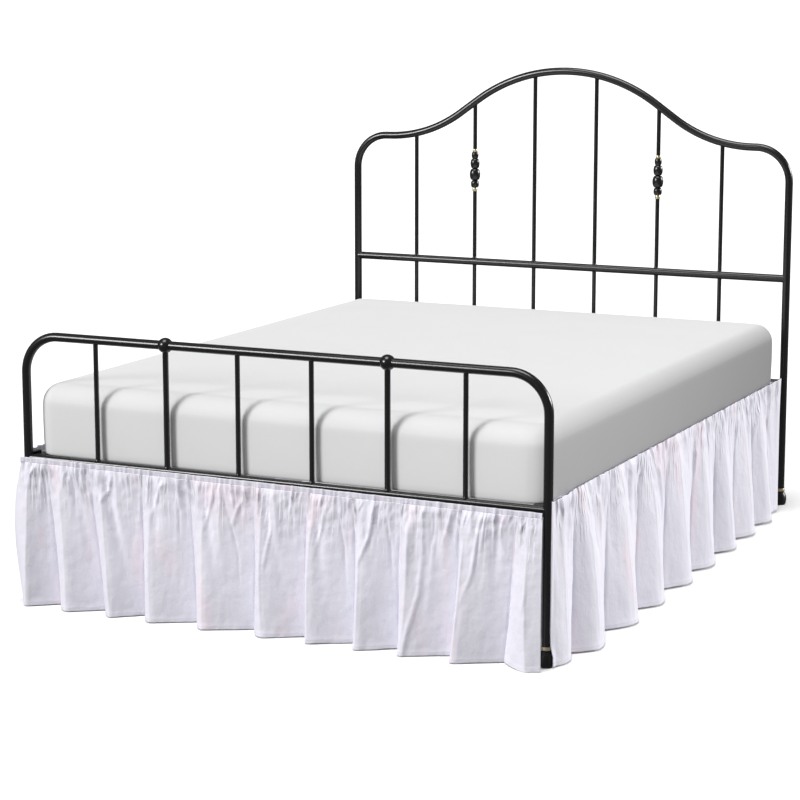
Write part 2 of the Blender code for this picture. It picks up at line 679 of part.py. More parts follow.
def add_foot_heading(finishes, origin):
    """Add the flat band across the foot, which bears on the rail and steps out round the left leg."""
    near = FOOTBOARD_RAIL_RADIUS + GAP
    far = TUBE_RADIUS + GAP
    step_start, step_end = HEADING_STEP_X
    stations = [(HEADING_LEFT_X, far), (step_start, far), (step_end, near), (0.0, near),
                (HEADING_RIGHT_X, near)]
    shape = bmesh.new()
    sections = []
    for x, out in stations:
        top = heading_top(x)
        corners = [(-out, top), (-out - HEADING_THICKNESS, top),
                   (-out - HEADING_THICKNESS, top - HEADING_HEIGHT), (-out, top - HEADING_HEIGHT)]
        sections.append([shape.verts.new((x, y, z)) for y, z in corners])
    for section, following in zip(sections, sections[1:]):
        for corner in range(4):
            other = (corner + 1) % 4
            shape.faces.new((section[corner], section[other], following[other], following[corner]))
    shape.faces.new(sections[0])
    shape.faces.new(sections[-1])
    heading = mesh_from_bmesh("heading_foot", shape, smooth=False)
    add_object("heading_foot", heading, finishes["white_cotton"], origin)


def add_side_headings(finishes, origin):
    """Add the bands that lie flat between the side rails and the mattress, as far out as the ruffles."""
    start, end = SIDE_HEADING_ENDS
    outer_x = SIDE_TOP_X - DRAPE_CLEARANCE / 2 - CLOTH_THICKNESS / 2 - GAP
    for side, sign in (("left", -1), ("right", 1)):
        name = "heading_" + side
        add_object(name, box_mesh(name, (SIDE_HEADING_WIDTH, end - start, HEADING_THICKNESS)),
                   finishes["white_cotton"], origin,
                   (sign * (outer_x - SIDE_HEADING_WIDTH / 2), (start + end) / 2,
                    MATTRESS_BOTTOM_Z - GAP - HEADING_THICKNESS / 2))


def line_at(line, down, bulge):
    """Return how far along and how far out a line of a panel is, at a share of the drop."""
    along = line.at_top + (line.at_hem - line.at_top) * down + bulge * 4 * down * (1 - down)
    out = line.out_top + (line.out_hem - line.out_top) * down ** FOLD_GROWTH
    return along, out


def pucker(along, down):
    """Return the small gathers' height, which dies away below the heading."""
    fade = math.exp(-(down / PUCKER_DROP) ** 2)
    rise = PUCKER_AT_SEAM + (1 - PUCKER_AT_SEAM) * smooth_step(down / PUCKER_RISE)
    wander = sum(wave.swing * math.sin(along * wave.per_metre + wave.phase) for wave in PUCKER_WANDER)
    return PUCKER_DEPTH * fade * rise * math.sin(2 * math.pi * along / PUCKER_PITCH + wander)


def furrow_depth(furrows, along, down):
    """Return how far the furrows draw the cloth in."""
    depth = 0.0
    for furrow in furrows:
        if down >= furrow.end:
            continue
        centre = furrow.at_top + (furrow.at_end - furrow.at_top) * down / furrow.end
        reach = (along - centre) / FURROW_WIDTH
        strength = FURROW_GAIN * smooth_step(down / FURROW_RISE) * (1 - smooth_step(down / furrow.end))
        depth += furrow.depth * strength * math.exp(-reach * reach)
    return depth


def panel_grid(lines, furrows, rows, spacing, end_bulge=0.0):
    """Return rows of (along, out, down) points, with columns that follow the folds."""
    grid = []
    for down in rows:
        row = []
        for index, (line, following) in enumerate(zip(lines, lines[1:])):
            span = max(abs(following.at_top - line.at_top), abs(following.at_hem - line.at_hem))
            columns = max(3, round(span / spacing))
            bulge = end_bulge if index == 0 else 0.0
            start, start_out = line_at(line, down, bulge)
            end, end_out = line_at(following, down, 0.0)
            last = index == len(lines) - 2
            for column in range(columns + 1 if last else columns):
                share = column / columns
                along = start + (end - start) * share
                ease = FACET_SHARE * share + (1 - FACET_SHARE) * smooth_step(share)
                out = start_out + (end_out - start_out) * ease
                out += pucker(along, down) - furrow_depth(furrows, along, down)
                row.append((along, out, down))
        grid.append(row)
    return grid


def add_ruffle(name, grid, place_point, finish, origin):
    """Add a gathered panel whose grid is placed point by point and given its thickness."""
    shape = bmesh.new()
    verts = [[shape.verts.new(place_point(*point)) for point in row] for row in grid]
    for row, following in zip(verts, verts[1:]):
        for column in range(len(row) - 1):
            shape.faces.new((row[column], row[column + 1], following[column + 1], following[column]))
    mesh = bpy.data.meshes.new(name)
    shape.to_mesh(mesh)
    shape.free()
    mesh.shade_smooth()
    ruffle = add_object(name, mesh, finish, origin)
    thickness = ruffle.modifiers.new("thickness", 'SOLIDIFY')
    thickness.thickness = CLOTH_THICKNESS
    thickness.offset = 0.0
    return ruffle


def place_foot_point(along, out, down):
    """Place a point of the foot panel: along X, out towards the viewer at the foot."""
    top = heading_top(along) - HEADING_HEIGHT - 2 * GAP
    return (along, -max(out, clear_of_leg(along)), top + (FOOT_HEM_Z - top) * down)


def clear_of_leg(along):
    """Return the least distance out that keeps the foot panel off the left leg."""
    near_leg = abs(along + POST_SPACING / 2) < LEG_SPAN
    return TUBE_RADIUS + DRAPE_CLEARANCE + CLOTH_THICKNESS / 2 if near_leg else 0.0


def place_side_point(sign):
    """Return a function that places a point of a side panel: along Y, out from the bed."""
    def place(along, out, down):
        share = along / BOARD_SPACING
        hem = SIDE_HEM_FRONT_Z + (SIDE_HEM_HEAD_Z - SIDE_HEM_FRONT_Z) * share
        x = SIDE_TOP_X + out if down else SIDE_TOP_X + max(out, -DRAPE_CLEARANCE / 2)
        return (sign * x, along, SIDE_TOP_Z + (hem - SIDE_TOP_Z) * down)
    return place


def add_skirt(finishes, origin):
    """Add the headings and the three gathered panels."""
    cotton = finishes["white_cotton"]
    add_foot_heading(finishes, origin)
    add_side_headings(finishes, origin)
    foot = panel_grid(FOOT_LINES, FOOT_FURROWS, ROWS_DOWN, FOOT_COLUMN, FOOT_END_BULGE)
    add_ruffle("ruffle_foot", foot, place_foot_point, cotton, origin)
    right = panel_grid(RIGHT_LINES, RIGHT_FURROWS, ROWS_DOWN, RIGHT_COLUMN)
    add_ruffle("ruffle_right", right, place_side_point(1), cotton, origin)
    left = panel_grid(LEFT_LINES, LEFT_FURROWS, LEFT_ROWS_DOWN, LEFT_COLUMN)
    add_ruffle("ruffle_left", left, place_side_point(-1), cotton, origin)


def main():
    """Build the bed and its skirt."""
    clear_scene()
    finishes = make_materials()
    origin = bpy.data.objects.new("footboard_plane", None)
    bpy.context.scene.collection.objects.link(origin)
    origin.location = (0.0, FOOTBOARD_PLANE_Y, 0.0)
    add_footboard(finishes, origin)
    add_headboard(finishes, origin)
    add_feet(finishes, origin)
    add_side_rails(finishes, origin)
    add_slats(finishes, origin)
    add_mattress(finishes, origin)
    add_skirt(finishes, origin)


if __name__ == "__main__":
    main()
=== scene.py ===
"""Looks of a gathered bed skirt with split corners, on a metal bed with a mattress.

Lengths are in metres. +X is the right of someone standing at the foot of the bed, +Y runs from the foot to
the head and +Z is up. Y values in the tables are measured from the plane of the footboard.
"""

import bisect
import json
import logging
import math
import random
from dataclasses import dataclass, field
from enum import Enum
from typing import Any, Callable, NamedTuple, Sequence

import bmesh
import bpy
from mathutils import Matrix, Vector, noise

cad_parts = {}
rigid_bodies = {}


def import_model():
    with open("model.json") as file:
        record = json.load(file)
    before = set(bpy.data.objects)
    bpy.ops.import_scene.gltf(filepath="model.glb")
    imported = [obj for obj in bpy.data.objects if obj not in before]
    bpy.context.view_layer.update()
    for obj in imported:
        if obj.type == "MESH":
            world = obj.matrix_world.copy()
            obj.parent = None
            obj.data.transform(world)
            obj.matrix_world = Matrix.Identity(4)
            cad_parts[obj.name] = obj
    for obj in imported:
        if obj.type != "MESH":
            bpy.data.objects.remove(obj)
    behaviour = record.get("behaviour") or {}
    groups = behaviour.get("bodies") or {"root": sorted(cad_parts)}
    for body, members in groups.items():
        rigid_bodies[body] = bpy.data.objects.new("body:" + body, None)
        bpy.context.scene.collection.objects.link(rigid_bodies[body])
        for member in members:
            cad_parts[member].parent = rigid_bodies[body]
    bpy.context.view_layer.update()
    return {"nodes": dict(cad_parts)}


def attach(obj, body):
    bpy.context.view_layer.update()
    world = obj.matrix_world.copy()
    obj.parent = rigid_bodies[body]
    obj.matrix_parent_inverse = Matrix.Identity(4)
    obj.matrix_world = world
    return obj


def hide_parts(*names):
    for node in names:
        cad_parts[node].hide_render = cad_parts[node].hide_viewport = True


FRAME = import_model()

LOG = logging.getLogger("bed_skirt")
BODY = "root"

FOOTBOARD_PLANE_Y = -0.99935
BOARD_SPACING = 2.069
POST_X = 0.775
TUBE_RADIUS = 0.0125
GLIDE_RADIUS = 0.0202
SPINDLE_RADIUS = 0.0068
SPINDLE_PITCH = 0.2195
SPINDLE_COUNT = 6
ACCENT_SPINDLES = (2, 5)
WELD = (0.0019, 0.0046)         # how far a weld reaches out and up
WELD_SINK = 0.0012              # of a spindle's foot in the rail under it
RAIL_END = 0.004                # from a rail's end to the middle of its post
WELD_LINE = ((1.0, 0.0), (0.45, 0.45), (0.1, 0.8), (0.0, 1.0))     # its outline, in shares of the two
BORE_SINK = 0.0004              # of a ring's or a bead's bore in its rod
RING_EASE = 0.0009              # of a ring's outer edges
RIDGE_END = 3.0                 # widths away at which a ridge has died away
SHARP_ANGLE = math.radians(38)

Socket = bpy.types.NodeSocket


# ---------------------------------------------------------------- tools

def linear(code: str) -> tuple[float, float, float, float]:
    """Turn an sRGB hex colour into linear light.

    Args:
        code: the colour, such as "#f4f2fa".

    Returns:
        Red, green, blue and an alpha of 1.
    """
    shares = [int(code[place:place + 2], 16) / 255 for place in (1, 3, 5)]
    light = [share / 12.92 if share <= 0.04045 else ((share + 0.055) / 1.055) ** 2.4 for share in shares]
    return (light[0], light[1], light[2], 1.0)


def fill(node: bpy.types.Node, settings: dict[Any, Any], links: dict[Any, Socket]) -> None:
    """Give a node its settings and links.

    Args:
        node: the node.
        settings: values by input name, input number or attribute name.
        links: sockets that feed it, by input name or number.
    """
    for key, value in settings.items():
        if isinstance(key, int) or key in node.inputs:
            node.inputs[key].default_value = value
        else:
            setattr(node, key, value)
    for key, socket in links.items():
        node.id_data.links.new(socket, node.inputs[key])


def add_node(tree: bpy.types.NodeTree, kind: str, settings: dict[Any, Any] | None = None,
             links: dict[Any, Socket] | None = None) -> bpy.types.Node:
    """Add a node with its settings and links.

    Args:
        tree: the node tree.
        kind: the node's type.
        settings: what it is given, as in fill.
        links: what feeds it, as in fill.

    Returns:
        The node.
    """
    node = tree.nodes.new(kind)
    fill(node, settings or {}, links or {})
    return node


def smooth_step(share: float) -> float:
    """Ease from 0 to 1."""
    share = min(max(share, 0.0), 1.0)
    return share * share * (3 - 2 * share)


def mix(start: float, end: float, share: float) -> float:
    """Return the value at a share of the way from start to end."""
    return start + (end - start) * share


def bell(away: float) -> float:
    """Return the height of a ridge, 1 at its middle, at so many of its widths away."""
    return math.exp(-away * away)


def add_object(name: str, data: bpy.types.ID) -> bpy.types.Object:
    """Put an object into the scene.

    Args:
        name: its name.
        data: its mesh, lamp or camera.

    Returns:
        The object.
    """
    thing = bpy.data.objects.new(name, data)
    bpy.context.scene.collection.objects.link(thing)
    return thing


def add_mesh(name: str, shape: bmesh.types.BMesh, material: bpy.types.Material) -> bpy.types.Object:
    """Put a bmesh into the scene.

    Args:
        name: the object's name.
        shape: the bmesh, which is freed.
        material: its material.

    Returns:
        The object.
    """
    mesh = bpy.data.meshes.new(name)
    shape.to_mesh(mesh)
    shape.free()
    mesh.materials.append(material)
    return add_object(name, mesh)


class Surface(NamedTuple):
    """A finish's material and the slot that it stands for."""

    material: bpy.types.Material
    slot: str


Surfaces = dict[str, Surface]


def finish_mesh(name: str, shape: bmesh.types.BMesh, surface: Surface, *nodes: str,
                recalculate: bool = True) -> bpy.types.Object:
    """Turn a bmesh into a smooth shaded piece that rides with the bed.

    Args:
        name: the piece's name.
        shape: the bmesh, which is freed.
        surface: the piece's finish.
        nodes: the nodes that it stands for.
        recalculate: whether its faces are turned outwards first.

    Returns:
        The piece.
    """
    if recalculate:
        bmesh.ops.recalc_face_normals(shape, faces=shape.faces)
    piece = add_mesh(name, shape, surface.material)
    piece.data.shade_smooth()
    piece.data.set_sharp_from_angle(angle=SHARP_ANGLE)
    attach(piece, BODY)
    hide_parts(*nodes)
    return piece


def turned(profile: Sequence[tuple[float, float]], centre: tuple[float, float, float],
           along: tuple[float, float, float] = (0, 0, 1), steps: int = 28) -> bmesh.types.BMesh:
    """Turn a profile round an axis.

    Args:
        profile: (radius, distance along the axis) points. A closed solid's profile starts and ends on the axis.
        centre: where the axis starts.
        along: the axis' direction, one metre long.
        steps: how many steps the turn has.

    Returns:
        The shape.
    """
    shape = bmesh.new()
    foot, axis = Vector(centre), Vector(along)
    across = axis.orthogonal().normalized()
    verts = [shape.verts.new(foot + across * radius + axis * reach) for radius, reach in profile]
    edges = [shape.edges.new(pair) for pair in zip(verts, verts[1:])]
    bmesh.ops.spin(shape, geom=verts + edges, cent=foot, axis=axis, dvec=(0, 0, 0), angle=math.tau,
                   steps=steps, use_merge=True, use_duplicate=False)
    bmesh.ops.remove_doubles(shape, verts=shape.verts, dist=1e-6)
    return shape


# ---------------------------------------------------------------- finishes

@dataclass(frozen=True)
class Finish:
    """A finish that is the base of the others."""

    name: str
    slot: str
    colour: str
    roughness: float

    def start(self) -> tuple[bpy.types.Material, bpy.types.NodeTree, bpy.types.Node, bpy.types.Node]:
        """Make the material.

        Returns:
            The material, its tree, its shader and its coordinates.
        """
        material = bpy.data.materials.new(self.name)
        material.use_nodes = True
        material.diffuse_color = linear(self.colour)
        tree = material.node_tree
        shader = tree.nodes["Principled BSDF"]
        fill(shader, {"Base Color": linear(self.colour), "Roughness": self.roughness}, {})
        return material, tree, shader, add_node(tree, "ShaderNodeTexCoord")


@dataclass(frozen=True)
class PowderCoat(Finish):
    """Steel tube with a baked powder coat: near black, half gloss, with a faint orange peel."""

    grain: float = 0.0018       # size of the orange peel's bumps, drawn a little coarse so that it shows
    relief: float = 0.00006
    cloud: float = 11.0         # scale of the drift in its gloss
    uneven: float = 0.05        # how far the gloss drifts

    def build(self) -> bpy.types.Material:
        """Build the finish.

        Returns:
            Its material.
        """
        material, tree, shader, place = self.start()
        body = {"Vector": place.outputs["Object"]}
        peel = add_node(tree, "ShaderNodeTexNoise", {"Scale": 1 / self.grain, "Detail": 2.0}, body)
        cloud = add_node(tree, "ShaderNodeTexNoise", {"Scale": self.cloud, "Detail": 3.0}, body)
        gloss = add_node(tree, "ShaderNodeMapRange",
                         {"To Min": self.roughness - self.uneven, "To Max": self.roughness + self.uneven},
                         {"Value": cloud.outputs["Fac"]})
        bump = add_node(tree, "ShaderNodeBump", {"Strength": 0.35, "Distance": self.relief},
                        {"Height": peel.outputs["Fac"]})
        fill(shader, {"IOR": 1.58}, {"Roughness": gloss.outputs["Result"], "Normal": bump.outputs["Normal"]})
        return material


@dataclass(frozen=True)
class MouldedPlastic(Finish):
    """Polyethylene foot, injection moulded with a fine matt grain."""

    grain: float = 0.0009
    relief: float = 0.00008

    def build(self) -> bpy.types.Material:
        """Build the finish.

        Returns:
            Its material.
        """
        material, tree, shader, place = self.start()
        stipple = add_node(tree, "ShaderNodeTexVoronoi", {"Scale": 1 / self.grain},
                           {"Vector": place.outputs["Object"]})
        bump = add_node(tree, "ShaderNodeBump", {"Strength": 0.3, "Distance": self.relief},
                        {"Height": stipple.outputs["Distance"]})
        fill(shader, {"IOR": 1.51}, {"Normal": bump.outputs["Normal"]})
        return material


@dataclass(frozen=True)
class SatinGold(Finish):
    """Pale gold plating on a turned band, satin from fine turning marks."""

    turning: float = 0.0006     # pitch of the turning marks
    relief: float = 0.00004
    wear: float = 260.0         # scale of the worn places
    worn: tuple[float, float] = (0.06, 0.12)    # how far they go under and over the roughness

    def build(self) -> bpy.types.Material:
        """Build the finish.

        Returns:
            Its material.
        """
        material, tree, shader, place = self.start()
        body = {"Vector": place.outputs["Object"]}
        marks = add_node(tree, "ShaderNodeTexWave",
                         {"bands_direction": 'Z', "Scale": math.pi / 10 / self.turning, "Distortion": 0.4}, body)
        wear = add_node(tree, "ShaderNodeTexNoise", {"Scale": self.wear, "Detail": 4.0}, body)
        gloss = add_node(tree, "ShaderNodeMapRange",
                         {"To Min": self.roughness - self.worn[0], "To Max": self.roughness + self.worn[1]},
                         {"Value": wear.outputs["Fac"]})
        bump = add_node(tree, "ShaderNodeBump", {"Strength": 0.15, "Distance": self.relief},
                        {"Height": marks.outputs["Fac"]})
        fill(shader, {"Metallic": 1.0}, {"Roughness": gloss.outputs["Result"], "Normal": bump.outputs["Normal"]})
        return material


@dataclass(frozen=True)
class StretchKnit(Finish):
    """Mattress cover of fine polyester jersey: plain, matt, with rows of stitches and a soft nap."""

    row: float = 0.0030         # pitch of the rows, twice the real one so that they show
    relief: float = 0.00035
    nap: float = 5.0            # scale of the nap's drift
    shade: str = "#e3e3e4"

    def build(self) -> bpy.types.Material:
        """Build the finish.

        Returns:
            Its material.
        """
        material, tree, shader, place = self.start()
        body = {"Vector": place.outputs["Object"]}
        scale = math.pi / 10 / self.row
        rows = add_node(tree, "ShaderNodeTexWave",
                        {"bands_direction": 'Y', "Scale": scale, "Distortion": 1.2, "Detail Scale": 3.0}, body)
        wales = add_node(tree, "ShaderNodeTexWave",
                         {"bands_direction": 'DIAGONAL', "Scale": scale, "Distortion": 0.8}, body)
        stitches = add_node(tree, "ShaderNodeMath", {"operation": 'MULTIPLY'},
                            {0: rows.outputs["Fac"], 1: wales.outputs["Fac"]})
        nap = add_node(tree, "ShaderNodeTexNoise", {"Scale": self.nap, "Detail": 5.0, "Roughness": 0.6}, body)
        tint = add_node(tree, "ShaderNodeMix",
                        {"data_type": 'RGBA', 6: linear(self.colour), 7: linear(self.shade)},
                        {0: nap.outputs["Fac"]})
        bump = add_node(tree, "ShaderNodeBump", {"Strength": 0.35, "Distance": self.relief},
                        {"Height": stitches.outputs["Value"]})
        fill(shader, {"Sheen Weight": 0.12, "Sheen Roughness": 0.6, "Specular IOR Level": 0.25},
             {"Base Color": tint.outputs[2], "Normal": bump.outputs["Normal"]})
        return material


@dataclass(frozen=True)
class PlainCotton(Finish):
    """Bleached plain-weave cotton, pressed but not starched: matt, with slubs down its length, sharp small
    ruches under the seam, a stitched hem and faint cool and warm drifts in its white. It reads the cloth's
    own map, in metres from the hem."""

    thread: float = 0.0016      # pitch of the weave, four times the real one so that it shows
    slub: float = 0.0045        # width of a slub
    slub_length: float = 1 / 14
    weave_relief: float = 0.0003
    crumple: float = 0.0180     # size of the soft crumples that pressing leaves
    crumple_relief: float = 0.0016
    ruche: float = 0.0180       # pitch of the small ruches under the seam
    ruche_relief: float = 0.0030
    ruche_scale: float = 0.16   # of their pattern down the cloth, so that they are long
    steep: float = 0.24         # share of the pitch in which a ruche rises
    deep: tuple[float, float] = (0.34, 0.62)        # of the noise that makes them uneven, from none to deep
    ruched: tuple[float, float] = (0.235, 0.375)    # heights between which they grow to their full depth
    warm: str = "#efe6f0"
    cool: str = "#eae9f3"
    warmed: tuple[float, float] = (0.53, 0.70)      # of the drift, from all cool to all warm
    slub_shade: float = 0.975
    stitch_height: float = 0.0085
    stitch_pitch: float = 0.0050
    stitch_shade: float = 0.80
    stitch_reach: tuple[float, float] = (0.0004, 0.0009)    # how far a stitch is darkest, and where it ends

    def build(self) -> bpy.types.Material:
        """Build the finish.

        Returns:
            Its material.
        """
        material, tree, shader, place = self.start()
        cloth = place.outputs["UV"]
        warp, weft = (add_node(tree, "ShaderNodeTexWave",
                               {"bands_direction": axis, "Scale": math.pi / 10 / self.thread, "Distortion": 0.5,
                                "Detail": 1.0}, {"Vector": cloth}) for axis in 'XY')
        weave = add_node(tree, "ShaderNodeMath", {"operation": 'MULTIPLY'},
                         {0: warp.outputs["Fac"], 1: weft.outputs["Fac"]})
        length = add_node(tree, "ShaderNodeMapping", {"Scale": (1 / self.slub, 1 / self.slub_length, 1.0)},
                          {"Vector": cloth})
        slubs = add_node(tree, "ShaderNodeTexNoise", {"Scale": 1.0, "Detail": 3.0, "Roughness": 0.55},
                         {"Vector": length.outputs["Vector"]})
        patches = add_node(tree, "ShaderNodeMapping", {"Scale": (10.0, 4.0, 1.0)}, {"Vector": cloth})
        drift = add_node(tree, "ShaderNodeTexNoise", {"Scale": 1.0, "Detail": 1.0},
                         {"Vector": patches.outputs["Vector"]})
        warmth = add_node(tree, "ShaderNodeMapRange", {"From Min": self.warmed[0], "From Max": self.warmed[1]},
                          {"Value": drift.outputs["Fac"]})
        tint = add_node(tree, "ShaderNodeMix", {"data_type": 'RGBA', 6: linear(self.cool), 7: linear(self.warm)},
                        {0: warmth.outputs["Result"]})
        streak = add_node(tree, "ShaderNodeMapRange", {"From Min": 0.3, "From Max": 0.7, "To Min": self.slub_shade},
                          {"Value": slubs.outputs["Fac"]})
        parts = add_node(tree, "ShaderNodeSeparateXYZ", {}, {0: cloth})
        shade = add_node(tree, "ShaderNodeMath", {"operation": 'MULTIPLY'},
                         {0: streak.outputs["Result"], 1: self._stitches(tree, parts)})
        colour = add_node(tree, "ShaderNodeVectorMath", {"operation": 'SCALE'},
                          {0: tint.outputs[2], "Scale": shade.outputs["Value"]})
        relief = add_node(tree, "ShaderNodeMath", {"operation": 'MULTIPLY_ADD', 1: 1.6},
                          {0: slubs.outputs["Fac"], 2: weave.outputs["Value"]})
        threads = add_node(tree, "ShaderNodeBump", {"Strength": 0.4, "Distance": self.weave_relief},
                           {"Height": relief.outputs["Value"]})
        crumple = add_node(tree, "ShaderNodeTexNoise", {"Scale": 1 / self.crumple, "Detail": 3.0, "Roughness": 0.6},
                           {"Vector": cloth})
        folds = add_node(tree, "ShaderNodeBump", {"Strength": 0.8, "Distance": self.crumple_relief},
                         {"Height": crumple.outputs["Fac"], "Normal": threads.outputs["Normal"]})
        ruches = add_node(tree, "ShaderNodeBump", {"Strength": 1.0, "Distance": self.ruche_relief},
                          {"Height": self._ruches(tree, cloth, parts), "Normal": folds.outputs["Normal"]})
        fill(shader, {"Sheen Weight": 0.10, "Sheen Roughness": 0.5, "Specular IOR Level": 0.2},
             {"Base Color": colour.outputs["Vector"], "Normal": ruches.outputs["Normal"]})
        return material

    def _ruches(self, tree: bpy.types.NodeTree, cloth: Socket, parts: bpy.types.Node) -> Socket:
        """Raise narrow ridges that run down from the seam and die away.

        Args:
            tree: the material's tree.
            cloth: the cloth's map.
            parts: the same map, separated.

        Returns:
            The ridges' height, from 0 to 1.
        """
        drawn_out = add_node(tree, "ShaderNodeMapping", {"Scale": (1.0, self.ruche_scale, 1.0)}, {"Vector": cloth})
        tooth = add_node(tree, "ShaderNodeTexWave",
                         {"bands_direction": 'X', "wave_profile": 'SAW', "Scale": math.pi / 10 / self.ruche,
                          "Distortion": 7.0, "Detail": 1.5, "Detail Scale": 1.4},
                         {"Vector": drawn_out.outputs["Vector"]})
        rise = add_node(tree, "ShaderNodeMapRange", {"From Max": self.steep}, {"Value": tooth.outputs["Fac"]})
        fall = add_node(tree, "ShaderNodeMapRange", {"From Min": self.steep, "To Min": 1.0, "To Max": 0.0},
                        {"Value": tooth.outputs["Fac"]})
        ridge = add_node(tree, "ShaderNodeMath", {"operation": 'MINIMUM'},
                         {0: rise.outputs["Result"], 1: fall.outputs["Result"]})
        uneven = add_node(tree, "ShaderNodeTexNoise", {"Scale": 34.0, "Detail": 0.0}, {"Vector": cloth})
        deep, near_seam = (add_node(tree, "ShaderNodeMapRange", {"From Min": low, "From Max": high}, {"Value": value})
                           for (low, high), value in ((self.deep, uneven.outputs["Fac"]),
                                                      (self.ruched, parts.outputs["Y"])))
        depth = add_node(tree, "ShaderNodeMath", {"operation": 'MULTIPLY'},
                         {0: deep.outputs["Result"], 1: near_seam.outputs["Result"]})
        return add_node(tree, "ShaderNodeMath", {"operation": 'MULTIPLY'},
                        {0: ridge.outputs["Value"], 1: depth.outputs["Value"]}).outputs["Value"]

    def _stitches(self, tree: bpy.types.NodeTree, parts: bpy.types.Node) -> Socket:
        """Draw a row of stitches along the hem.

        Args:
            tree: the material's tree.
            parts: the cloth's map, separated.

        Returns:
            A value of 1, and a little less on each stitch.
        """
        offset = add_node(tree, "ShaderNodeMath", {"operation": 'SUBTRACT', 1: self.stitch_height},
                          {0: parts.outputs["Y"]})
        away = add_node(tree, "ShaderNodeMath", {"operation": 'ABSOLUTE'}, {0: offset.outputs["Value"]})
        turns = add_node(tree, "ShaderNodeMath", {"operation": 'MULTIPLY', 1: math.tau / self.stitch_pitch},
                         {0: parts.outputs["X"]})
        beat = add_node(tree, "ShaderNodeMath", {"operation": 'SINE'}, {0: turns.outputs["Value"]})
        dash = add_node(tree, "ShaderNodeMapRange", {"From Min": -0.6, "From Max": -0.2},
                        {"Value": beat.outputs["Value"]})
        line = add_node(tree, "ShaderNodeMapRange",
                        {"From Min": self.stitch_reach[0], "From Max": self.stitch_reach[1], "To Min": 1.0,
                         "To Max": 0.0}, {"Value": away.outputs["Value"]})
        both = add_node(tree, "ShaderNodeMath", {"operation": 'MULTIPLY'},
                        {0: dash.outputs["Result"], 1: line.outputs["Result"]})
        return add_node(tree, "ShaderNodeMapRange", {"To Min": 1.0, "To Max": self.stitch_shade},
                        {"Value": both.outputs["Value"]}).outputs["Result"]


FINISHES = {
    "steel": PowderCoat("powder_coated_steel", "black_steel", "#0e0e0f", 0.24),
    "slats": PowderCoat("powder_coated_slat", "slat_steel", "#262626", 0.55),
    "plastic": MouldedPlastic("moulded_polyethylene", "black_plastic", "#0d0d0e", 0.38),
    "gold": SatinGold("satin_gold_plate", "pale_gold", "#eadcb8", 0.34),
    "knit": StretchKnit("polyester_jersey", "mattress_knit", "#e8e8e9", 0.92),
    "cotton": PlainCotton("plain_weave_cotton", "white_cotton", "#ebe9f3", 0.93),
}


# ---------------------------------------------------------------- tubes

class Turn(NamedTuple):
    """A bend of a tube in the plane of its board."""

    centre: tuple[float, float]
    angle: float
    steps: int


@dataclass
class BentTube:
    """A round tube that starts upright and follows straight runs and bends."""

    name: str
    node: str
    board_y: float
    start: tuple[float, float]
    radius: float
    run: Sequence[float | Turn]
    sides: int = 28

    def build(self, surface: Surface) -> bpy.types.Object:
        """Sweep the tube's section along its run.

        Args:
            surface: the tube's finish.

        Returns:
            The piece.
        """
        shape = bmesh.new()
        ring = bmesh.ops.create_circle(shape, cap_ends=True, segments=self.sides, radius=self.radius)["verts"]
        bmesh.ops.translate(shape, vec=(self.start[0], self.board_y, self.start[1]), verts=ring)
        edges = list(dict.fromkeys(edge for vert in ring for edge in vert.link_edges))
        heading = Vector((0.0, 0.0, 1.0))
        for leg in self.run:
            if isinstance(leg, Turn):
                centre = Vector((leg.centre[0], self.board_y, leg.centre[1]))
                verts = list(dict.fromkeys(vert for edge in edges for vert in edge.verts))
                made = bmesh.ops.spin(shape, geom=verts + edges, cent=centre, axis=(0.0, 1.0, 0.0),
                                      dvec=(0, 0, 0), angle=leg.angle, steps=leg.steps, use_merge=False,
                                      use_duplicate=False)["geom_last"]
                heading = Matrix.Rotation(leg.angle, 3, 'Y') @ heading
            else:
                made = bmesh.ops.extrude_edge_only(shape, edges=edges)["geom"]
                moved = [item for item in made if isinstance(item, bmesh.types.BMVert)]
                bmesh.ops.translate(shape, vec=heading * leg, verts=moved)
            edges = [item for item in made if isinstance(item, bmesh.types.BMEdge)]
            rim = {vert for edge in edges for vert in edge.verts}
            if not isinstance(leg, Turn):
                rim = set(moved)
            edges = [edge for edge in edges if edge.verts[0] in rim and edge.verts[1] in rim]
        bmesh.ops.holes_fill(shape, edges=edges, sides=0)
        return finish_mesh(self.name, shape, surface, self.node)


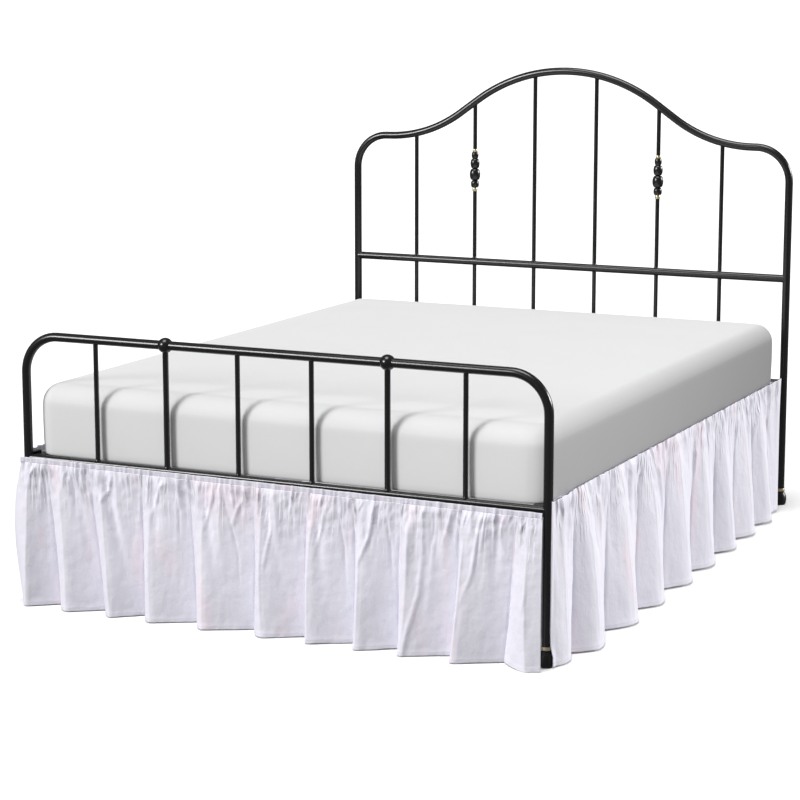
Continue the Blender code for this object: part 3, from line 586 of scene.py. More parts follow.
@dataclass
class Footboard:
    """The low board: a hoop, six spindles, a rail and two balls on the top tube."""

    top_z: float = 0.7506
    corner: float = 0.103
    rail_z: float = 0.4075
    rail_radius: float = 0.0095
    accent_radius: float = 0.0080
    foot_z: float = 0.0423
    ball_radius: float = 0.0210
    ball_lip: float = 0.0012
    ball_sink: float = 0.0010       # of the ball's bore in the tube
    spindle_sink: float = 0.002     # of a spindle's top in the tube or the ball
    y: float = FOOTBOARD_PLANE_Y

    def hoop(self) -> BentTube:
        """Lay out the hoop.

        Returns:
            Its tube.
        """
        centre_z = self.top_z - self.corner
        rise = centre_z - self.foot_z
        inner = POST_X - self.corner
        quarter = math.pi / 2
        run = [rise, Turn((-inner, centre_z), quarter, 14), 2 * inner, Turn((inner, centre_z), quarter, 14), rise]
        return BentTube("footboard_tube", "footboard_hoop", self.y, (-POST_X, self.foot_z), TUBE_RADIUS, run)

    def ball(self, number: int, x: float, surface: Surface) -> bpy.types.Object:
        """Turn a ball that the top tube passes through.

        Args:
            number: the number of the spindle under it.
            x: its distance from the middle.
            surface: its finish.

        Returns:
            The piece.
        """
        lip = TUBE_RADIUS + self.ball_lip
        reach = math.acos(lip / self.ball_radius)
        steps = 14
        angles = [mix(-reach, reach, step / steps) for step in range(steps + 1)]
        outside = [(self.ball_radius * math.cos(angle), self.ball_radius * math.sin(angle)) for angle in angles]
        inside = [(TUBE_RADIUS - self.ball_sink, outside[end][1]) for end in (-1, 0)]
        shape = turned(outside + inside + outside[:1], (x, self.y, self.top_z), (1, 0, 0), 32)
        return finish_mesh("footboard_ball_%d" % number, shape, surface, "footboard_knob_%d" % number)

    def build(self, surfaces: Surfaces) -> None:
        """Build the board.

        Args:
            surfaces: the finishes.
        """
        steel = surfaces["steel"]
        self.hoop().build(steel)
        build_rail("footboard_lower_tube", "footboard_rail", self.rail_z, self.rail_radius, self.y, steel)
        for number, x in spindle_places():
            accent = number in ACCENT_SPINDLES
            radius = self.accent_radius if accent else SPINDLE_RADIUS
            top = self.top_z - ((self.ball_radius if accent else TUBE_RADIUS) - self.spindle_sink)
            build_spindle("footboard_rod_%d" % number, ["footboard_spindle_%d" % number], (x, self.y), radius,
                          [(self.rail_z + self.rail_radius - WELD_SINK, top)], steel)
            if accent:
                self.ball(number, x, steel)


@dataclass
class Headboard:
    """The tall board: an arched hoop, two rails, six spindles, and two finials with a ring at each end."""

    top_z: float = 1.4043
    crown_radius: float = 0.552
    crown_half_angle: float = math.radians(35.15)
    straight: float = 0.082
    hollow_radius: float = 0.461
    shoulder_radius: float = 0.111
    rail_z: float = 0.7494
    rail_radius: float = 0.0125
    hidden_rail_z: float = 0.4080
    hidden_rail_radius: float = 0.0095
    foot_z: float = 0.0423
    beads: tuple[tuple[float, float, float], ...] = (
        (1.0160, 0.0141, 0.0125), (1.0485, 0.0183, 0.0200), (1.0855, 0.0156, 0.0170), (1.1140, 0.0119, 0.0115))
    bead_steps: int = 8
    bead_roundness: float = 0.8     # below 1 a bead is fuller than a ball
    neck_radius: float = 0.0072
    ring_radius: float = 0.0088
    ring_heights: tuple[float, float] = (0.0110, 0.0090)
    gap: float = 0.0003             # between the beads and a ring
    spindle_sinks: tuple[float, float] = (0.001, 0.003)     # of a spindle's top in the rail and in the arch
    y: float = FOOTBOARD_PLANE_Y + BOARD_SPACING

    def arch(self) -> dict[str, float]:
        """Work out the arch from its radii.

        Returns:
            The places of its centres, and where the crown ends.
        """
        sine, cosine = math.sin(self.crown_half_angle), math.cos(self.crown_half_angle)
        end_x = self.crown_radius * sine
        end_z = self.top_z - self.crown_radius * (1 - cosine)
        hollow_x = end_x + self.straight * cosine + self.hollow_radius * sine
        hollow_z = end_z - self.straight * sine + self.hollow_radius * cosine
        shoulder_z = hollow_z - self.hollow_radius - self.shoulder_radius
        return {"crown_z": self.top_z - self.crown_radius, "hollow_x": hollow_x, "hollow_z": hollow_z,
                "end_x": end_x, "shoulder_z": shoulder_z, "shoulder_x": POST_X - self.shoulder_radius}

    def arch_height(self, x: float) -> float:
        """Work out the height of the arch's centre line.

        Args:
            x: the distance from the middle.

        Returns:
            The height there.
        """
        places = self.arch()
        reach = abs(x)
        run_end = places["end_x"] + self.straight * math.cos(self.crown_half_angle)
        if reach <= places["end_x"]:
            return places["crown_z"] + math.sqrt(self.crown_radius ** 2 - reach ** 2)
        if reach <= run_end:
            end_z = places["crown_z"] + math.sqrt(self.crown_radius ** 2 - places["end_x"] ** 2)
            return end_z - (reach - places["end_x"]) * math.tan(self.crown_half_angle)
        return places["hollow_z"] - math.sqrt(self.hollow_radius ** 2 - (places["hollow_x"] - reach) ** 2)

    def hoop(self) -> BentTube:
        """Lay out the hoop.

        Returns:
            Its tube.
        """
        places = self.arch()
        rise = places["shoulder_z"] - self.foot_z
        level = places["shoulder_x"] - places["hollow_x"]
        bend = self.crown_half_angle
        shoulder = (places["shoulder_x"], places["shoulder_z"])
        hollow = (places["hollow_x"], places["hollow_z"])
        run = [rise, Turn((-shoulder[0], shoulder[1]), math.pi / 2, 14), level,
               Turn((-hollow[0], hollow[1]), -bend, 14), self.straight,
               Turn((0.0, places["crown_z"]), 2 * bend, 36), self.straight,
               Turn(hollow, -bend, 14), level, Turn(shoulder, math.pi / 2, 14), rise]
        return BentTube("headboard_tube", "headboard_hoop", self.y, (-POST_X, self.foot_z), TUBE_RADIUS, run)

    def finial(self, number: int, x: float, surfaces: Surfaces) -> None:
        """Turn a finial's beads and its two gold rings.

        Args:
            number: the number of its spindle.
            x: its distance from the middle.
            surfaces: the finishes.
        """
        bore = SPINDLE_RADIUS - BORE_SINK
        outline = []
        for z, radius, half in self.beads:
            for step in range(self.bead_steps + 1):
                angle = mix(-math.pi / 2, math.pi / 2, step / self.bead_steps)
                swell = (radius - self.neck_radius) * math.cos(angle) ** self.bead_roundness
                outline.append((self.neck_radius + swell, z + half * math.sin(angle)))
        foot, top = outline[0][1], outline[-1][1]
        outline += [(bore, top), (bore, foot), outline[0]]
        middle = (x, self.y, 0.0)
        finish_mesh("headboard_beads_%d" % number, turned(outline, middle), surfaces["steel"],
                    "headboard_finial_%d" % number)
        lower, upper = self.ring_heights
        spans = {"lower": (foot - self.gap - lower, foot - self.gap),
                 "upper": (top + self.gap, top + self.gap + upper)}
        for end, span in spans.items():
            band = turned(band_profile(self.ring_radius, bore, *span), middle)
            finish_mesh("gold_ring_%d_%s" % (number, end), band, surfaces["gold"],
                        "finial_ring_%d_%s" % (number, end))

    def build(self, surfaces: Surfaces) -> None:
        """Build the board.

        Args:
            surfaces: the finishes.
        """
        steel = surfaces["steel"]
        self.hoop().build(steel)
        build_rail("headboard_middle_tube", "headboard_rail", self.rail_z, self.rail_radius, self.y, steel)
        build_rail("headboard_lower_tube", "headboard_lower_rail", self.hidden_rail_z, self.hidden_rail_radius,
                   self.y, steel)
        in_rail, in_arch = self.spindle_sinks
        for number, x in spindle_places():
            nodes = ["headboard_spindle_%d_%s" % (number, part) for part in ("lower", "upper")]
            spans = [(self.hidden_rail_z + self.hidden_rail_radius - WELD_SINK,
                      self.rail_z - self.rail_radius + in_rail),
                     (self.rail_z + self.rail_radius - WELD_SINK, self.arch_height(x) - in_arch)]
            build_spindle("headboard_rod_%d" % number, nodes, (x, self.y), SPINDLE_RADIUS, spans, steel)
            if number in ACCENT_SPINDLES:
                self.finial(number, x, surfaces)


def spindle_places() -> list[tuple[int, float]]:
    """Return the spindles' numbers and distances from the middle, left to right."""
    first = -SPINDLE_PITCH * (SPINDLE_COUNT - 1) / 2
    return [(number + 1, first + SPINDLE_PITCH * number) for number in range(SPINDLE_COUNT)]


def band_profile(radius: float, bore: float, foot: float, top: float) -> list[tuple[float, float]]:
    """Draw a ring's closed outline, with its outer edges eased.

    Args:
        radius: the ring's radius.
        bore: the radius of its hole.
        foot: its lowest point.
        top: its highest point.

    Returns:
        The outline's (radius, height) points.
    """
    ease, near = RING_EASE, 0.3 * RING_EASE
    return [(bore, foot), (radius - ease, foot), (radius - near, foot + near), (radius, foot + ease),
            (radius, top - ease), (radius - near, top - near), (radius - ease, top), (bore, top), (bore, foot)]


def build_rail(name: str, node: str, z: float, radius: float, y: float, surface: Surface) -> None:
    """Build a level tube between two posts.

    Args:
        name: the piece's name.
        node: the node that it stands for.
        z: the height of its middle.
        radius: its radius.
        y: the plane of its board.
        surface: its finish.
    """
    half = POST_X - RAIL_END
    profile = [(0.0, -half), (radius, -half), (radius, half), (0.0, half)]
    finish_mesh(name, turned(profile, (0.0, y, z), (1, 0, 0)), surface, node)


def build_spindle(name: str, nodes: list[str], place: tuple[float, float], radius: float,
                  spans: list[tuple[float, float]], surface: Surface) -> None:
    """Build an upright rod with a small weld at its foot.

    Args:
        name: the piece's name.
        nodes: the nodes that it stands for.
        place: its distance from the middle and the plane of its board.
        radius: its radius.
        spans: its lowest and highest point, for each length between two tubes.
        surface: its finish.
    """
    reach, rise = WELD
    whole = bmesh.new()
    for foot, top in spans:
        profile = [(0.0, foot)] + [(radius + out * reach, foot + up * rise) for out, up in WELD_LINE]
        profile += [(radius, top), (0.0, top)]
        part = turned(profile, (*place, 0.0), steps=20)
        mesh = bpy.data.meshes.new("part")
        part.to_mesh(mesh)
        part.free()
        whole.from_mesh(mesh)
        bpy.data.meshes.remove(mesh)
    finish_mesh(name, whole, surface, *nodes)


@dataclass
class Legs:
    """The four rounded feet and the gold ring above each."""

    ring_radius: float = 0.0146
    ring_z: float = 0.0505
    ring_height: float = 0.0090
    glide: tuple[tuple[float, float], ...] = (
        (0.0, 0.0), (0.0145, 0.0), (0.0162, 0.0012), (0.0182, 0.0050), (0.0197, 0.0110), (0.0202, 0.0180),
        (0.0200, 0.0245), (0.0191, 0.0300), (0.0176, 0.0345), (0.0158, 0.0380), (0.0146, 0.0402),
        (0.0140, 0.0420), (0.0, 0.0420))

    def build(self, surfaces: Surfaces) -> None:
        """Build the feet and the rings.

        Args:
            surfaces: the finishes.
        """
        half = self.ring_height / 2
        outline = band_profile(self.ring_radius, TUBE_RADIUS - BORE_SINK, self.ring_z - half, self.ring_z + half)
        for board, y in (("foot", FOOTBOARD_PLANE_Y), ("head", FOOTBOARD_PLANE_Y + BOARD_SPACING)):
            for side, x in (("left", -POST_X), ("right", POST_X)):
                end = "%s_%s" % (board, side)
                finish_mesh("leg_foot_" + end, turned(self.glide, (x, y, 0.0)), surfaces["plastic"], "glide_" + end)
                finish_mesh("leg_band_" + end, turned(outline, (x, y, 0.0)), surfaces["gold"], "leg_ring_" + end)


# ---------------------------------------------------------------- mattress

@dataclass
class Mattress:
    """A foam block in a plain jersey cover, a little crowned, with rounded corners and soft edges."""

    width: float = 1.524
    length: float = 2.000
    thickness: float = 0.194
    bottom_z: float = 0.4170
    front_y: float = FOOTBOARD_PLANE_Y + 0.018
    corner: float = 0.062
    top_edge: float = 0.054
    foot_edge: float = 0.007
    sag: float = 0.0042             # of the end past the first slat
    crown: float = 0.0045
    swell: float = 0.0018
    unevenness: float = 0.0016
    hollows: float = 2.6            # how many hollows the unevenness has in a metre
    past_slat: tuple[float, float] = (0.09, 0.07)   # where the sag starts, from the end, and over what length
    corner_steps: int = 10
    edge_steps: tuple[int, int] = (9, 4)            # of the top and the foot edge
    cuts: tuple[int, int, int] = (30, 40, 9)        # of the grid, across, along and up

    def shape(self) -> bmesh.types.BMesh:
        """Round the block's corners and edges, and cut it into a grid.

        Returns:
            The block, about its own middle.
        """
        shape = bmesh.new()
        bmesh.ops.create_cube(shape, size=1.0)
        bmesh.ops.scale(shape, vec=(self.width, self.length, self.thickness), verts=shape.verts)
        upright = [edge for edge in shape.edges if edge.verts[0].co.z * edge.verts[1].co.z < 0]
        bmesh.ops.bevel(shape, geom=upright, offset=self.corner, segments=self.corner_steps, profile=0.5,
                        affect='EDGES', material=-1)
        for sign, radius, segments in zip((1, -1), (self.top_edge, self.foot_edge), self.edge_steps):
            level = sign * self.thickness / 2
            rim = [edge for edge in shape.edges if all(abs(vert.co.z - level) < 1e-5 for vert in edge.verts)]
            bmesh.ops.bevel(shape, geom=rim, offset=radius, segments=segments, profile=0.5, affect='EDGES',
                            material=-1)
        for axis, (side, cuts) in enumerate(zip((self.width, self.length, self.thickness), self.cuts)):
            reach = side / 2
            for cut in range(1, cuts):
                place = Vector()
                place[axis] = mix(-reach, reach, cut / cuts)
                normal = Vector()
                normal[axis] = 1.0
                bmesh.ops.bisect_plane(shape, geom=shape.verts[:] + shape.edges[:] + shape.faces[:], dist=1e-5,
                                       plane_co=place, plane_no=normal)
        return shape

    def settle(self, place: Vector) -> Vector:
        """Crown the top, swell the sides and make both a little uneven.

        Args:
            place: a point of the block.

        Returns:
            Where it lies.
        """
        across = place.x / (self.width / 2)
        along = place.y / (self.length / 2)
        up = smooth_step(0.5 + place.z / self.thickness)
        dome = (1 - across ** 4) * (1 - along ** 4)
        wander = noise.noise(Vector((place.x * self.hollows, place.y * self.hollows, 3.1)))
        belly = math.cos(math.pi * min(max(place.z / self.thickness, -0.5), 0.5))
        rise = up * (self.crown * dome + self.unevenness * wander * dome)
        start, run = self.past_slat
        rise -= self.sag * (1 - up) * smooth_step((-place.y - self.length / 2 + start) / run)
        return Vector((place.x * (1 + self.swell * belly / (self.width / 2)),
                       place.y * (1 + self.swell * belly / (self.length / 2)), place.z + rise))

    def build(self, surfaces: Surfaces) -> None:
        """Build the mattress.

        Args:
            surfaces: the finishes.
        """
        shape = self.shape()
        middle = Vector((0.0, self.front_y + self.length / 2, self.bottom_z + self.thickness / 2))
        for vert in shape.verts:
            vert.co = self.settle(vert.co) + middle
        finish_mesh("mattress_cover", shape, surfaces["knit"], "mattress")


# ---------------------------------------------------------------- skirt

class Side(Enum):
    """The side of the bed that a panel hangs on."""

    FOOT = "foot"
    RIGHT = "right"
    LEFT = "left"


class Line(NamedTuple):
    """An end, a crest or a valley of a panel."""

    at_top: float
    at_hem: float
    out_top: float
    out_hem: float


class Furrow(NamedTuple):
    """A shallow furrow that runs down from the gathers. end is a share of the drop."""

    at_top: float
    at_end: float
    end: float
    depth: float


class Crease(NamedTuple):
    """A soft ridge, or a trough where its height is negative. path has (along, share of the drop) points."""

    path: tuple[tuple[float, float], ...]
    height: float
    width: float


class GatherLayer(NamedTuple):
    """Gathers of one kind: their average pitch, height and width, and how far down they reach."""

    pitch: float
    height: float
    width: float
    reach: tuple[float, float]


class Gather(NamedTuple):
    """One of the small gathers under the seam."""

    along: float
    lean: float
    reach: float
    width: float
    height: float


def creases(*rows: tuple[float, ...]) -> tuple[Crease, ...]:
    """Read rows of a height, a width and the path's points one after another."""
    return tuple(Crease(tuple(zip(row[2::2], row[3::2])), row[0], row[1]) for row in rows)


FOOT_LINES = tuple(Line(*row) for row in (
    (-0.79, -0.776, 0.0156, 0.03), (-0.76, -0.75, 0.016, 0.074), (-0.711, -0.665, 0.0128, 0.014),
    (-0.672, -0.617, 0.0128, 0.077), (-0.574, -0.519, 0.0128, 0.0145), (-0.53, -0.475, 0.0128, 0.076),
    (-0.408, -0.394, 0.0128, 0.015), (-0.366, -0.348, 0.0128, 0.077), (-0.256, -0.231, 0.0128, 0.013),
    (-0.212, -0.186, 0.0128, 0.079), (-0.063, -0.059, 0.0128, 0.014), (-0.022, -0.006, 0.0128, 0.078),
    (0.098, 0.104, 0.0128, 0.015), (0.126, 0.13, 0.0128, 0.077), (0.232, 0.244, 0.0128, 0.0145),
    (0.258, 0.27, 0.0128, 0.078), (0.376, 0.373, 0.0128, 0.014), (0.4, 0.396, 0.0128, 0.077),
    (0.533, 0.521, 0.0128, 0.015), (0.558, 0.545, 0.0128, 0.08), (0.694, 0.665, 0.0128, 0.0135),
    (0.734, 0.745, 0.0128, 0.075), (0.7662, 0.782, 0.0128, 0.058),
))
RIGHT_LINES = tuple(Line(*row) for row in (
    (-0.007, -0.009, 0.0165, 0.0245), (0.046, 0.056, 0.0165, 0.0465), (0.2, 0.132, 0.0, 0.0225),
    (0.25, 0.205, 0.0004, 0.0785), (0.46, 0.372, 0.0, 0.0245), (0.514, 0.468, 0.0004, 0.0805),
    (0.715, 0.602, 0.0, 0.0225), (0.762, 0.692, 0.0004, 0.0765), (0.955, 0.842, 0.0, 0.0235),
    (1.004, 0.942, 0.0004, 0.0755), (1.18, 1.07, 0.0, 0.0245), (1.226, 1.16, 0.0004, 0.0705),
    (1.385, 1.31, 0.0, 0.0225), (1.426, 1.388, 0.0004, 0.0665), (1.58, 1.508, 0.0, 0.0225),
    (1.624, 1.594, 0.0004, 0.0625), (1.756, 1.712, 0.0, 0.0215), (1.798, 1.79, 0.0004, 0.059),
    (1.915, 1.874, 0.0, 0.0205), (2.028, 1.962, 0.0125, 0.032),
))
LEFT_LINES = tuple(Line(*row) for row in (
    (0.012, -0.002, 0.0165, 0.0265), (0.105, 0.112, 0.0165, 0.0705), (0.19, 0.205, 0.0, 0.0235),
    (0.285, 0.3, 0.0004, 0.0805), (0.395, 0.385, 0.0, 0.0245), (0.5, 0.478, 0.0004, 0.0745),
    (0.6, 0.592, 0.0, 0.0225), (0.705, 0.715, 0.0004, 0.0765), (0.82, 0.835, 0.0, 0.0245),
    (0.93, 0.925, 0.0004, 0.0695), (1.025, 1.03, 0.0, 0.0225), (1.15, 1.138, 0.0004, 0.0755),
    (1.255, 1.245, 0.0, 0.0235), (1.34, 1.352, 0.0004, 0.0675), (1.44, 1.455, 0.0, 0.0225),
    (1.55, 1.56, 0.0004, 0.0725), (1.665, 1.655, 0.0, 0.0245), (1.77, 1.752, 0.0004, 0.0645),
    (1.875, 1.868, 0.0, 0.0215), (1.965, 1.96, 0.0165, 0.0525), (2.05, 2.041, 0.0165, 0.0245),
))
FOOT_FURROWS = tuple(Furrow(*row) for row in (
    (-0.632, -0.54, 0.8, 0.007), (-0.52, -0.425, 0.85, 0.009), (-0.37, -0.335, 0.6, 0.008),
    (-0.21, -0.15, 0.75, 0.008), (-0.03, 0.045, 0.7, 0.008), (0.125, 0.17, 0.8, 0.007),
    (0.245, 0.275, 0.65, 0.007), (0.405, 0.4, 0.85, -0.008), (0.47, 0.485, 0.55, 0.007),
    (0.635, 0.645, 0.6, 0.007),
))
RIGHT_FURROWS = tuple(Furrow(*row) for row in (
    (0.11, 0.09, 0.45, 0.007), (0.33, 0.3, 0.55, 0.008), (0.41, 0.35, 0.5, 0.006), (0.59, 0.545, 0.65, 0.008),
    (0.835, 0.78, 0.55, 0.008), (0.89, 0.83, 0.45, -0.006), (1.09, 1.02, 0.55, 0.008), (1.31, 1.25, 0.5, 0.007),
    (1.5, 1.46, 0.7, 0.008), (1.69, 1.65, 0.5, 0.007), (1.865, 1.84, 0.45, 0.006),
))
LEFT_FURROWS = tuple(Furrow(*row) for row in (
    (0.15, 0.165, 0.5, 0.007), (0.45, 0.43, 0.6, 0.008), (0.77, 0.79, 0.55, 0.008), (1.09, 1.08, 0.6, 0.007),
    (1.4, 1.41, 0.5, 0.008), (1.72, 1.7, 0.55, 0.007),
))
FOOT_CREASES = creases(
    (0.0026, 0.005, -0.74, 0.0, -0.756, 0.09, -0.762, 0.3), (-0.0019, 0.0039, -0.717, 0.05, -0.711, 0.17, -0.708, 0.3),
    (0.0027, 0.0033, -0.641, 0.0, -0.646, 0.08, -0.65, 0.16),
    (0.0026, 0.0033, -0.599, 0.11, -0.568, 0.23, -0.55, 0.31),
    (0.0041, 0.0055, -0.494, 0.0, -0.501, 0.12, -0.537, 0.28),
    (0.0043, 0.006, -0.336, 0.01, -0.347, 0.14, -0.364, 0.29),
    (-0.0036, 0.0044, -0.306, 0.03, -0.285, 0.22, -0.28, 0.45),
    (0.0026, 0.0033, -0.197, 0.01, -0.197, 0.09, -0.198, 0.17),
    (0.0039, 0.0055, -0.175, 0.0, -0.18, 0.13, -0.201, 0.34),
    (-0.0036, 0.0044, -0.151, 0.08, -0.124, 0.26, -0.101, 0.48, -0.096, 0.68),
    (0.0044, 0.0066, -0.089, 0.07, -0.103, 0.16, -0.116, 0.27),
    (0.0037, 0.005, -0.002, 0.02, 0.002, 0.28, -0.013, 0.6), (0.0029, 0.0039, 0.061, 0.0, 0.053, 0.15, 0.064, 0.27),
    (0.0041, 0.0055, 0.162, 0.04, 0.15, 0.24, 0.134, 0.4), (-0.0037, 0.0044, 0.194, 0.1, 0.211, 0.33, 0.221, 0.65),
    (0.0022, 0.0028, 0.201, 0.07, 0.2, 0.15, 0.204, 0.2), (0.0027, 0.0033, 0.273, 0.0, 0.264, 0.03, 0.255, 0.08),
    (0.0049, 0.0055, 0.299, 0.03, 0.29, 0.25, 0.251, 0.51), (-0.0037, 0.0044, 0.331, 0.08, 0.344, 0.27, 0.351, 0.54),
    (0.0029, 0.0033, 0.399, 0.03, 0.394, 0.1, 0.389, 0.16),
    (0.003, 0.007, 0.435, 0.0, 0.444, 0.33, 0.44, 0.57, 0.411, 0.88, 0.404, 1.0),
    (0.0029, 0.0033, 0.499, 0.03, 0.505, 0.13, 0.522, 0.24), (0.0029, 0.0033, 0.561, 0.0, 0.556, 0.06, 0.549, 0.12),
    (0.0046, 0.006, 0.603, 0.0, 0.594, 0.17, 0.585, 0.41, 0.558, 0.61),
    (0.0029, 0.0033, 0.659, 0.02, 0.65, 0.14, 0.67, 0.27), (0.0031, 0.0039, 0.731, 0.0, 0.72, 0.03, 0.711, 0.08),
    (0.0019, 0.0044, 0.734, 0.47, 0.729, 0.57, 0.724, 0.68),
)
RIGHT_CREASES = creases(
    (0.0039, 0.0072, 0.148, 0.07, 0.128, 0.23, 0.104, 0.4), (-0.0039, 0.006, 0.289, 0.08, 0.302, 0.26, 0.319, 0.51),
    (0.0047, 0.0072, 0.351, 0.09, 0.348, 0.24, 0.342, 0.41), (0.0057, 0.0072, 0.491, 0.08, 0.487, 0.16, 0.46, 0.24),
    (0.0044, 0.0072, 0.62, 0.08, 0.641, 0.26, 0.638, 0.44), (-0.0039, 0.006, 0.708, 0.11, 0.673, 0.25, 0.645, 0.36),
    (0.0044, 0.0072, 0.835, 0.11, 0.828, 0.32, 0.821, 0.53), (-0.0039, 0.0072, 0.93, 0.09, 0.899, 0.25, 0.864, 0.42),
    (0.0044, 0.0072, 1.171, 0.14, 1.149, 0.31, 1.12, 0.47), (0.0044, 0.0084, 1.356, 0.12, 1.336, 0.3, 1.308, 0.44),
    (-0.0039, 0.0084, 1.468, 0.13, 1.49, 0.33, 1.499, 0.54), (0.0044, 0.0084, 1.591, 0.09, 1.564, 0.24, 1.532, 0.39),
    (-0.0039, 0.0084, 1.708, 0.11, 1.73, 0.31, 1.731, 0.51), (0.0044, 0.0084, 1.789, 0.11, 1.765, 0.24, 1.737, 0.38),
    (-0.0039, 0.0084, 1.884, 0.1, 1.905, 0.33, 1.919, 0.52),
)
LEFT_CREASES = creases(
    (0.0047, 0.0066, 0.13, 0.05, 0.124, 0.22, 0.118, 0.4), (-0.0042, 0.0066, 0.33, 0.06, 0.342, 0.26, 0.348, 0.5),
    (0.0047, 0.0072, 0.54, 0.05, 0.528, 0.24, 0.512, 0.45), (-0.0039, 0.006, 0.655, 0.06, 0.668, 0.3, 0.676, 0.52),
    (0.0044, 0.0072, 0.87, 0.05, 0.884, 0.26, 0.896, 0.48), (-0.0039, 0.0066, 0.985, 0.06, 0.978, 0.28, 0.974, 0.5),
    (0.0047, 0.0072, 1.205, 0.05, 1.192, 0.24, 1.184, 0.44), (-0.0039, 0.0066, 1.31, 0.06, 1.32, 0.3, 1.326, 0.52),
    (0.0044, 0.0072, 1.5, 0.05, 1.512, 0.26, 1.52, 0.46), (-0.0039, 0.0066, 1.61, 0.06, 1.604, 0.26, 1.6, 0.5),
    (0.0044, 0.0066, 1.82, 0.05, 1.812, 0.24, 1.802, 0.42),
)


@dataclass(frozen=True)
class Cotton:
    """How the gathered cloth behaves, the same on every panel."""

    thickness: float = 0.0014       # of the hem, which is folded twice
    single: float = 0.55            # share of it that a single layer has
    hem: float = 0.0105             # height of the hem's fold
    flare: float = 0.90             # how the whole panel swings out towards the hem
    growth: float = 0.48            # how the folds deepen towards the hem
    soft_start: float = 0.02        # share of the drop over which they start
    pucker_pitch: float = 0.033
    pucker_depth: float = 0.0016
    pucker_drop: float = 0.13       # share of the drop over which the puckers die away
    pucker_at_seam: float = 0.70    # share of their depth that they have at the seam
    pucker_rise: float = 0.05       # share of the drop over which they get the rest
    furrow_width: float = 0.013
    furrow_rise: float = 0.20       # share of the drop over which a furrow deepens
    furrow_gain: float = 1.6
    crease_gain: float = 1.1
    crease_fade: float = 0.06       # share of the drop over which a crease starts and ends
    crease_late: float = 0.45       # share of a crease's own length after which it fades
    crest_from: float = 0.045       # how far out at the hem a line is a crest
    crest_edge: float = 0.0022
    valley_edge: float = 0.0050
    edge_width: float = 0.0040
    edge_start: tuple[float, float] = (0.08, 0.25)      # where such a line starts, and over what share of the drop
    edge_end: tuple[float, float, float] = (0.75, 0.25, 0.6)    # the same where it fades, and how much of it does
    edge_uneven: tuple[float, float] = (0.75, 0.6)      # its least height, and how much is added here and there
    leg_gap: float = 0.0022         # between a leg and the cloth that hangs round it
    glide_top: tuple[float, float] = (0.030, 0.030)     # height from which a leg gets thinner, and over what height
    tail: float = 1.9               # how much longer a gather is on the side away from the light
    widen: float = 2.0              # how much wider a gather gets down the drop
    near: tuple[float, float] = (0.03, 0.16)            # how near a gather counts, at the seam and more below
    gather_at_seam: tuple[float, float] = (0.70, 0.04)  # share of its height at the seam, and where it gets the rest
    uneven_width: tuple[float, float] = (0.75, 1.25)    # of the gathers, in shares of their layer's average
    uneven_height: tuple[float, float] = (0.4, 1.2)
    uneven_pitch: tuple[float, float] = (0.5, 1.5)
    crinkle: float = 0.0007
    crinkles: tuple[tuple[float, ...], ...] = (         # height, ripples in a metre, slant, ripples down, field
        (1.0, 75, 0, 11, 0.7), (2.2, 21, 0, 5, 1.3), (1.3, 36, 9, 17, 2.1))
    puff: float = 0.0018            # how far the side panels' upper edge wanders up and down
    puff_waves: float = 62          # in a metre
    puff_gather: float = 0.5        # share of a gather's height by which it lifts that edge
    puff_drop: float = 0.07         # share of the drop over which that dies away
    ragged: tuple[tuple[float, float], ...] = (         # how far the hem wanders up and down, and waves in a metre
        (0.0012, 16), (0.0008, 70))
    ragged_drop: tuple[float, float] = (0.8, 0.2)       # where that starts and over what share of the drop
    bow: float = 0.009              # how far a line bows along the bed at most
    lean: tuple[float, float] = (0.14, 0.04)            # how far short and long gathers lean at most
    drop: float = 0.39              # from the seam to the hem
    foot_hem: float = 0.0028        # height of the hem above the floor
    side_hem: tuple[float, float] = (0.0040, 0.0085)    # the same at the foot and at the head of the bed
    side_seam: float = 0.4205       # height of the side panels' upper edge
    side_face: float = 0.766        # from the middle of the bed to the side rail's face
    side_sink: float = 0.0012       # how far the cloth may press in there
    lift: float = 0.0050            # how much higher that edge lies over a bracket
    bracket: tuple[float, float] = (0.075, 0.060)       # where the lift begins to end, and over what length
    clear: tuple[float, float] = (0.0118, 0.0070)       # nearest that the foot panel comes, above and below
    clear_step: tuple[float, float] = (0.06, 0.10)      # where that changes, in shares of the drop
    clear_leg: tuple[float, float] = (0.0026, 0.0275)   # the same over the left leg, and how near that counts
    calm_end: tuple[float, float] = (0.15, 0.025)       # share of the relief at a panel's end, and how far in

    def pucker(self, along: float, down: float) -> float:
        """Work out the broad gathers, which die away below the seam.

        Args:
            along: the distance along the bed.
            down: share of the drop.

        Returns:
            Their height.
        """
        fade = bell(down / self.pucker_drop)
        rise = mix(self.pucker_at_seam, 1.0, smooth_step(down / self.pucker_rise))
        wander = 1.7 * math.sin(along * 9.1) + 1.1 * math.sin(along * 23.0 + 0.6)
        return self.pucker_depth * fade * rise * math.sin(math.tau * along / self.pucker_pitch + wander)

    def furrow(self, rows: Sequence[Furrow], along: float, down: float) -> float:
        """Work out the furrows.

        Args:
            rows: the panel's furrows.
            along: the distance along the bed.
            down: share of the drop.

        Returns:
            How far they draw the cloth in.
        """
        depth = 0.0
        for row in rows:
            if down >= row.end:
                continue
            reach = (along - mix(row.at_top, row.at_end, down / row.end)) / self.furrow_width
            if abs(reach) < RIDGE_END:
                fade = smooth_step(down / self.furrow_rise) * (1 - smooth_step(down / row.end))
                depth += row.depth * self.furrow_gain * fade * bell(reach)
        return depth

    def grow(self, down: float) -> float:
        """Return how deep the folds are at a share of the drop, from 0 at the seam to 1 at the hem."""
        least, most = self.soft_start ** self.growth, (1 + self.soft_start) ** self.growth
        return ((down + self.soft_start) ** self.growth - least) / (most - least)

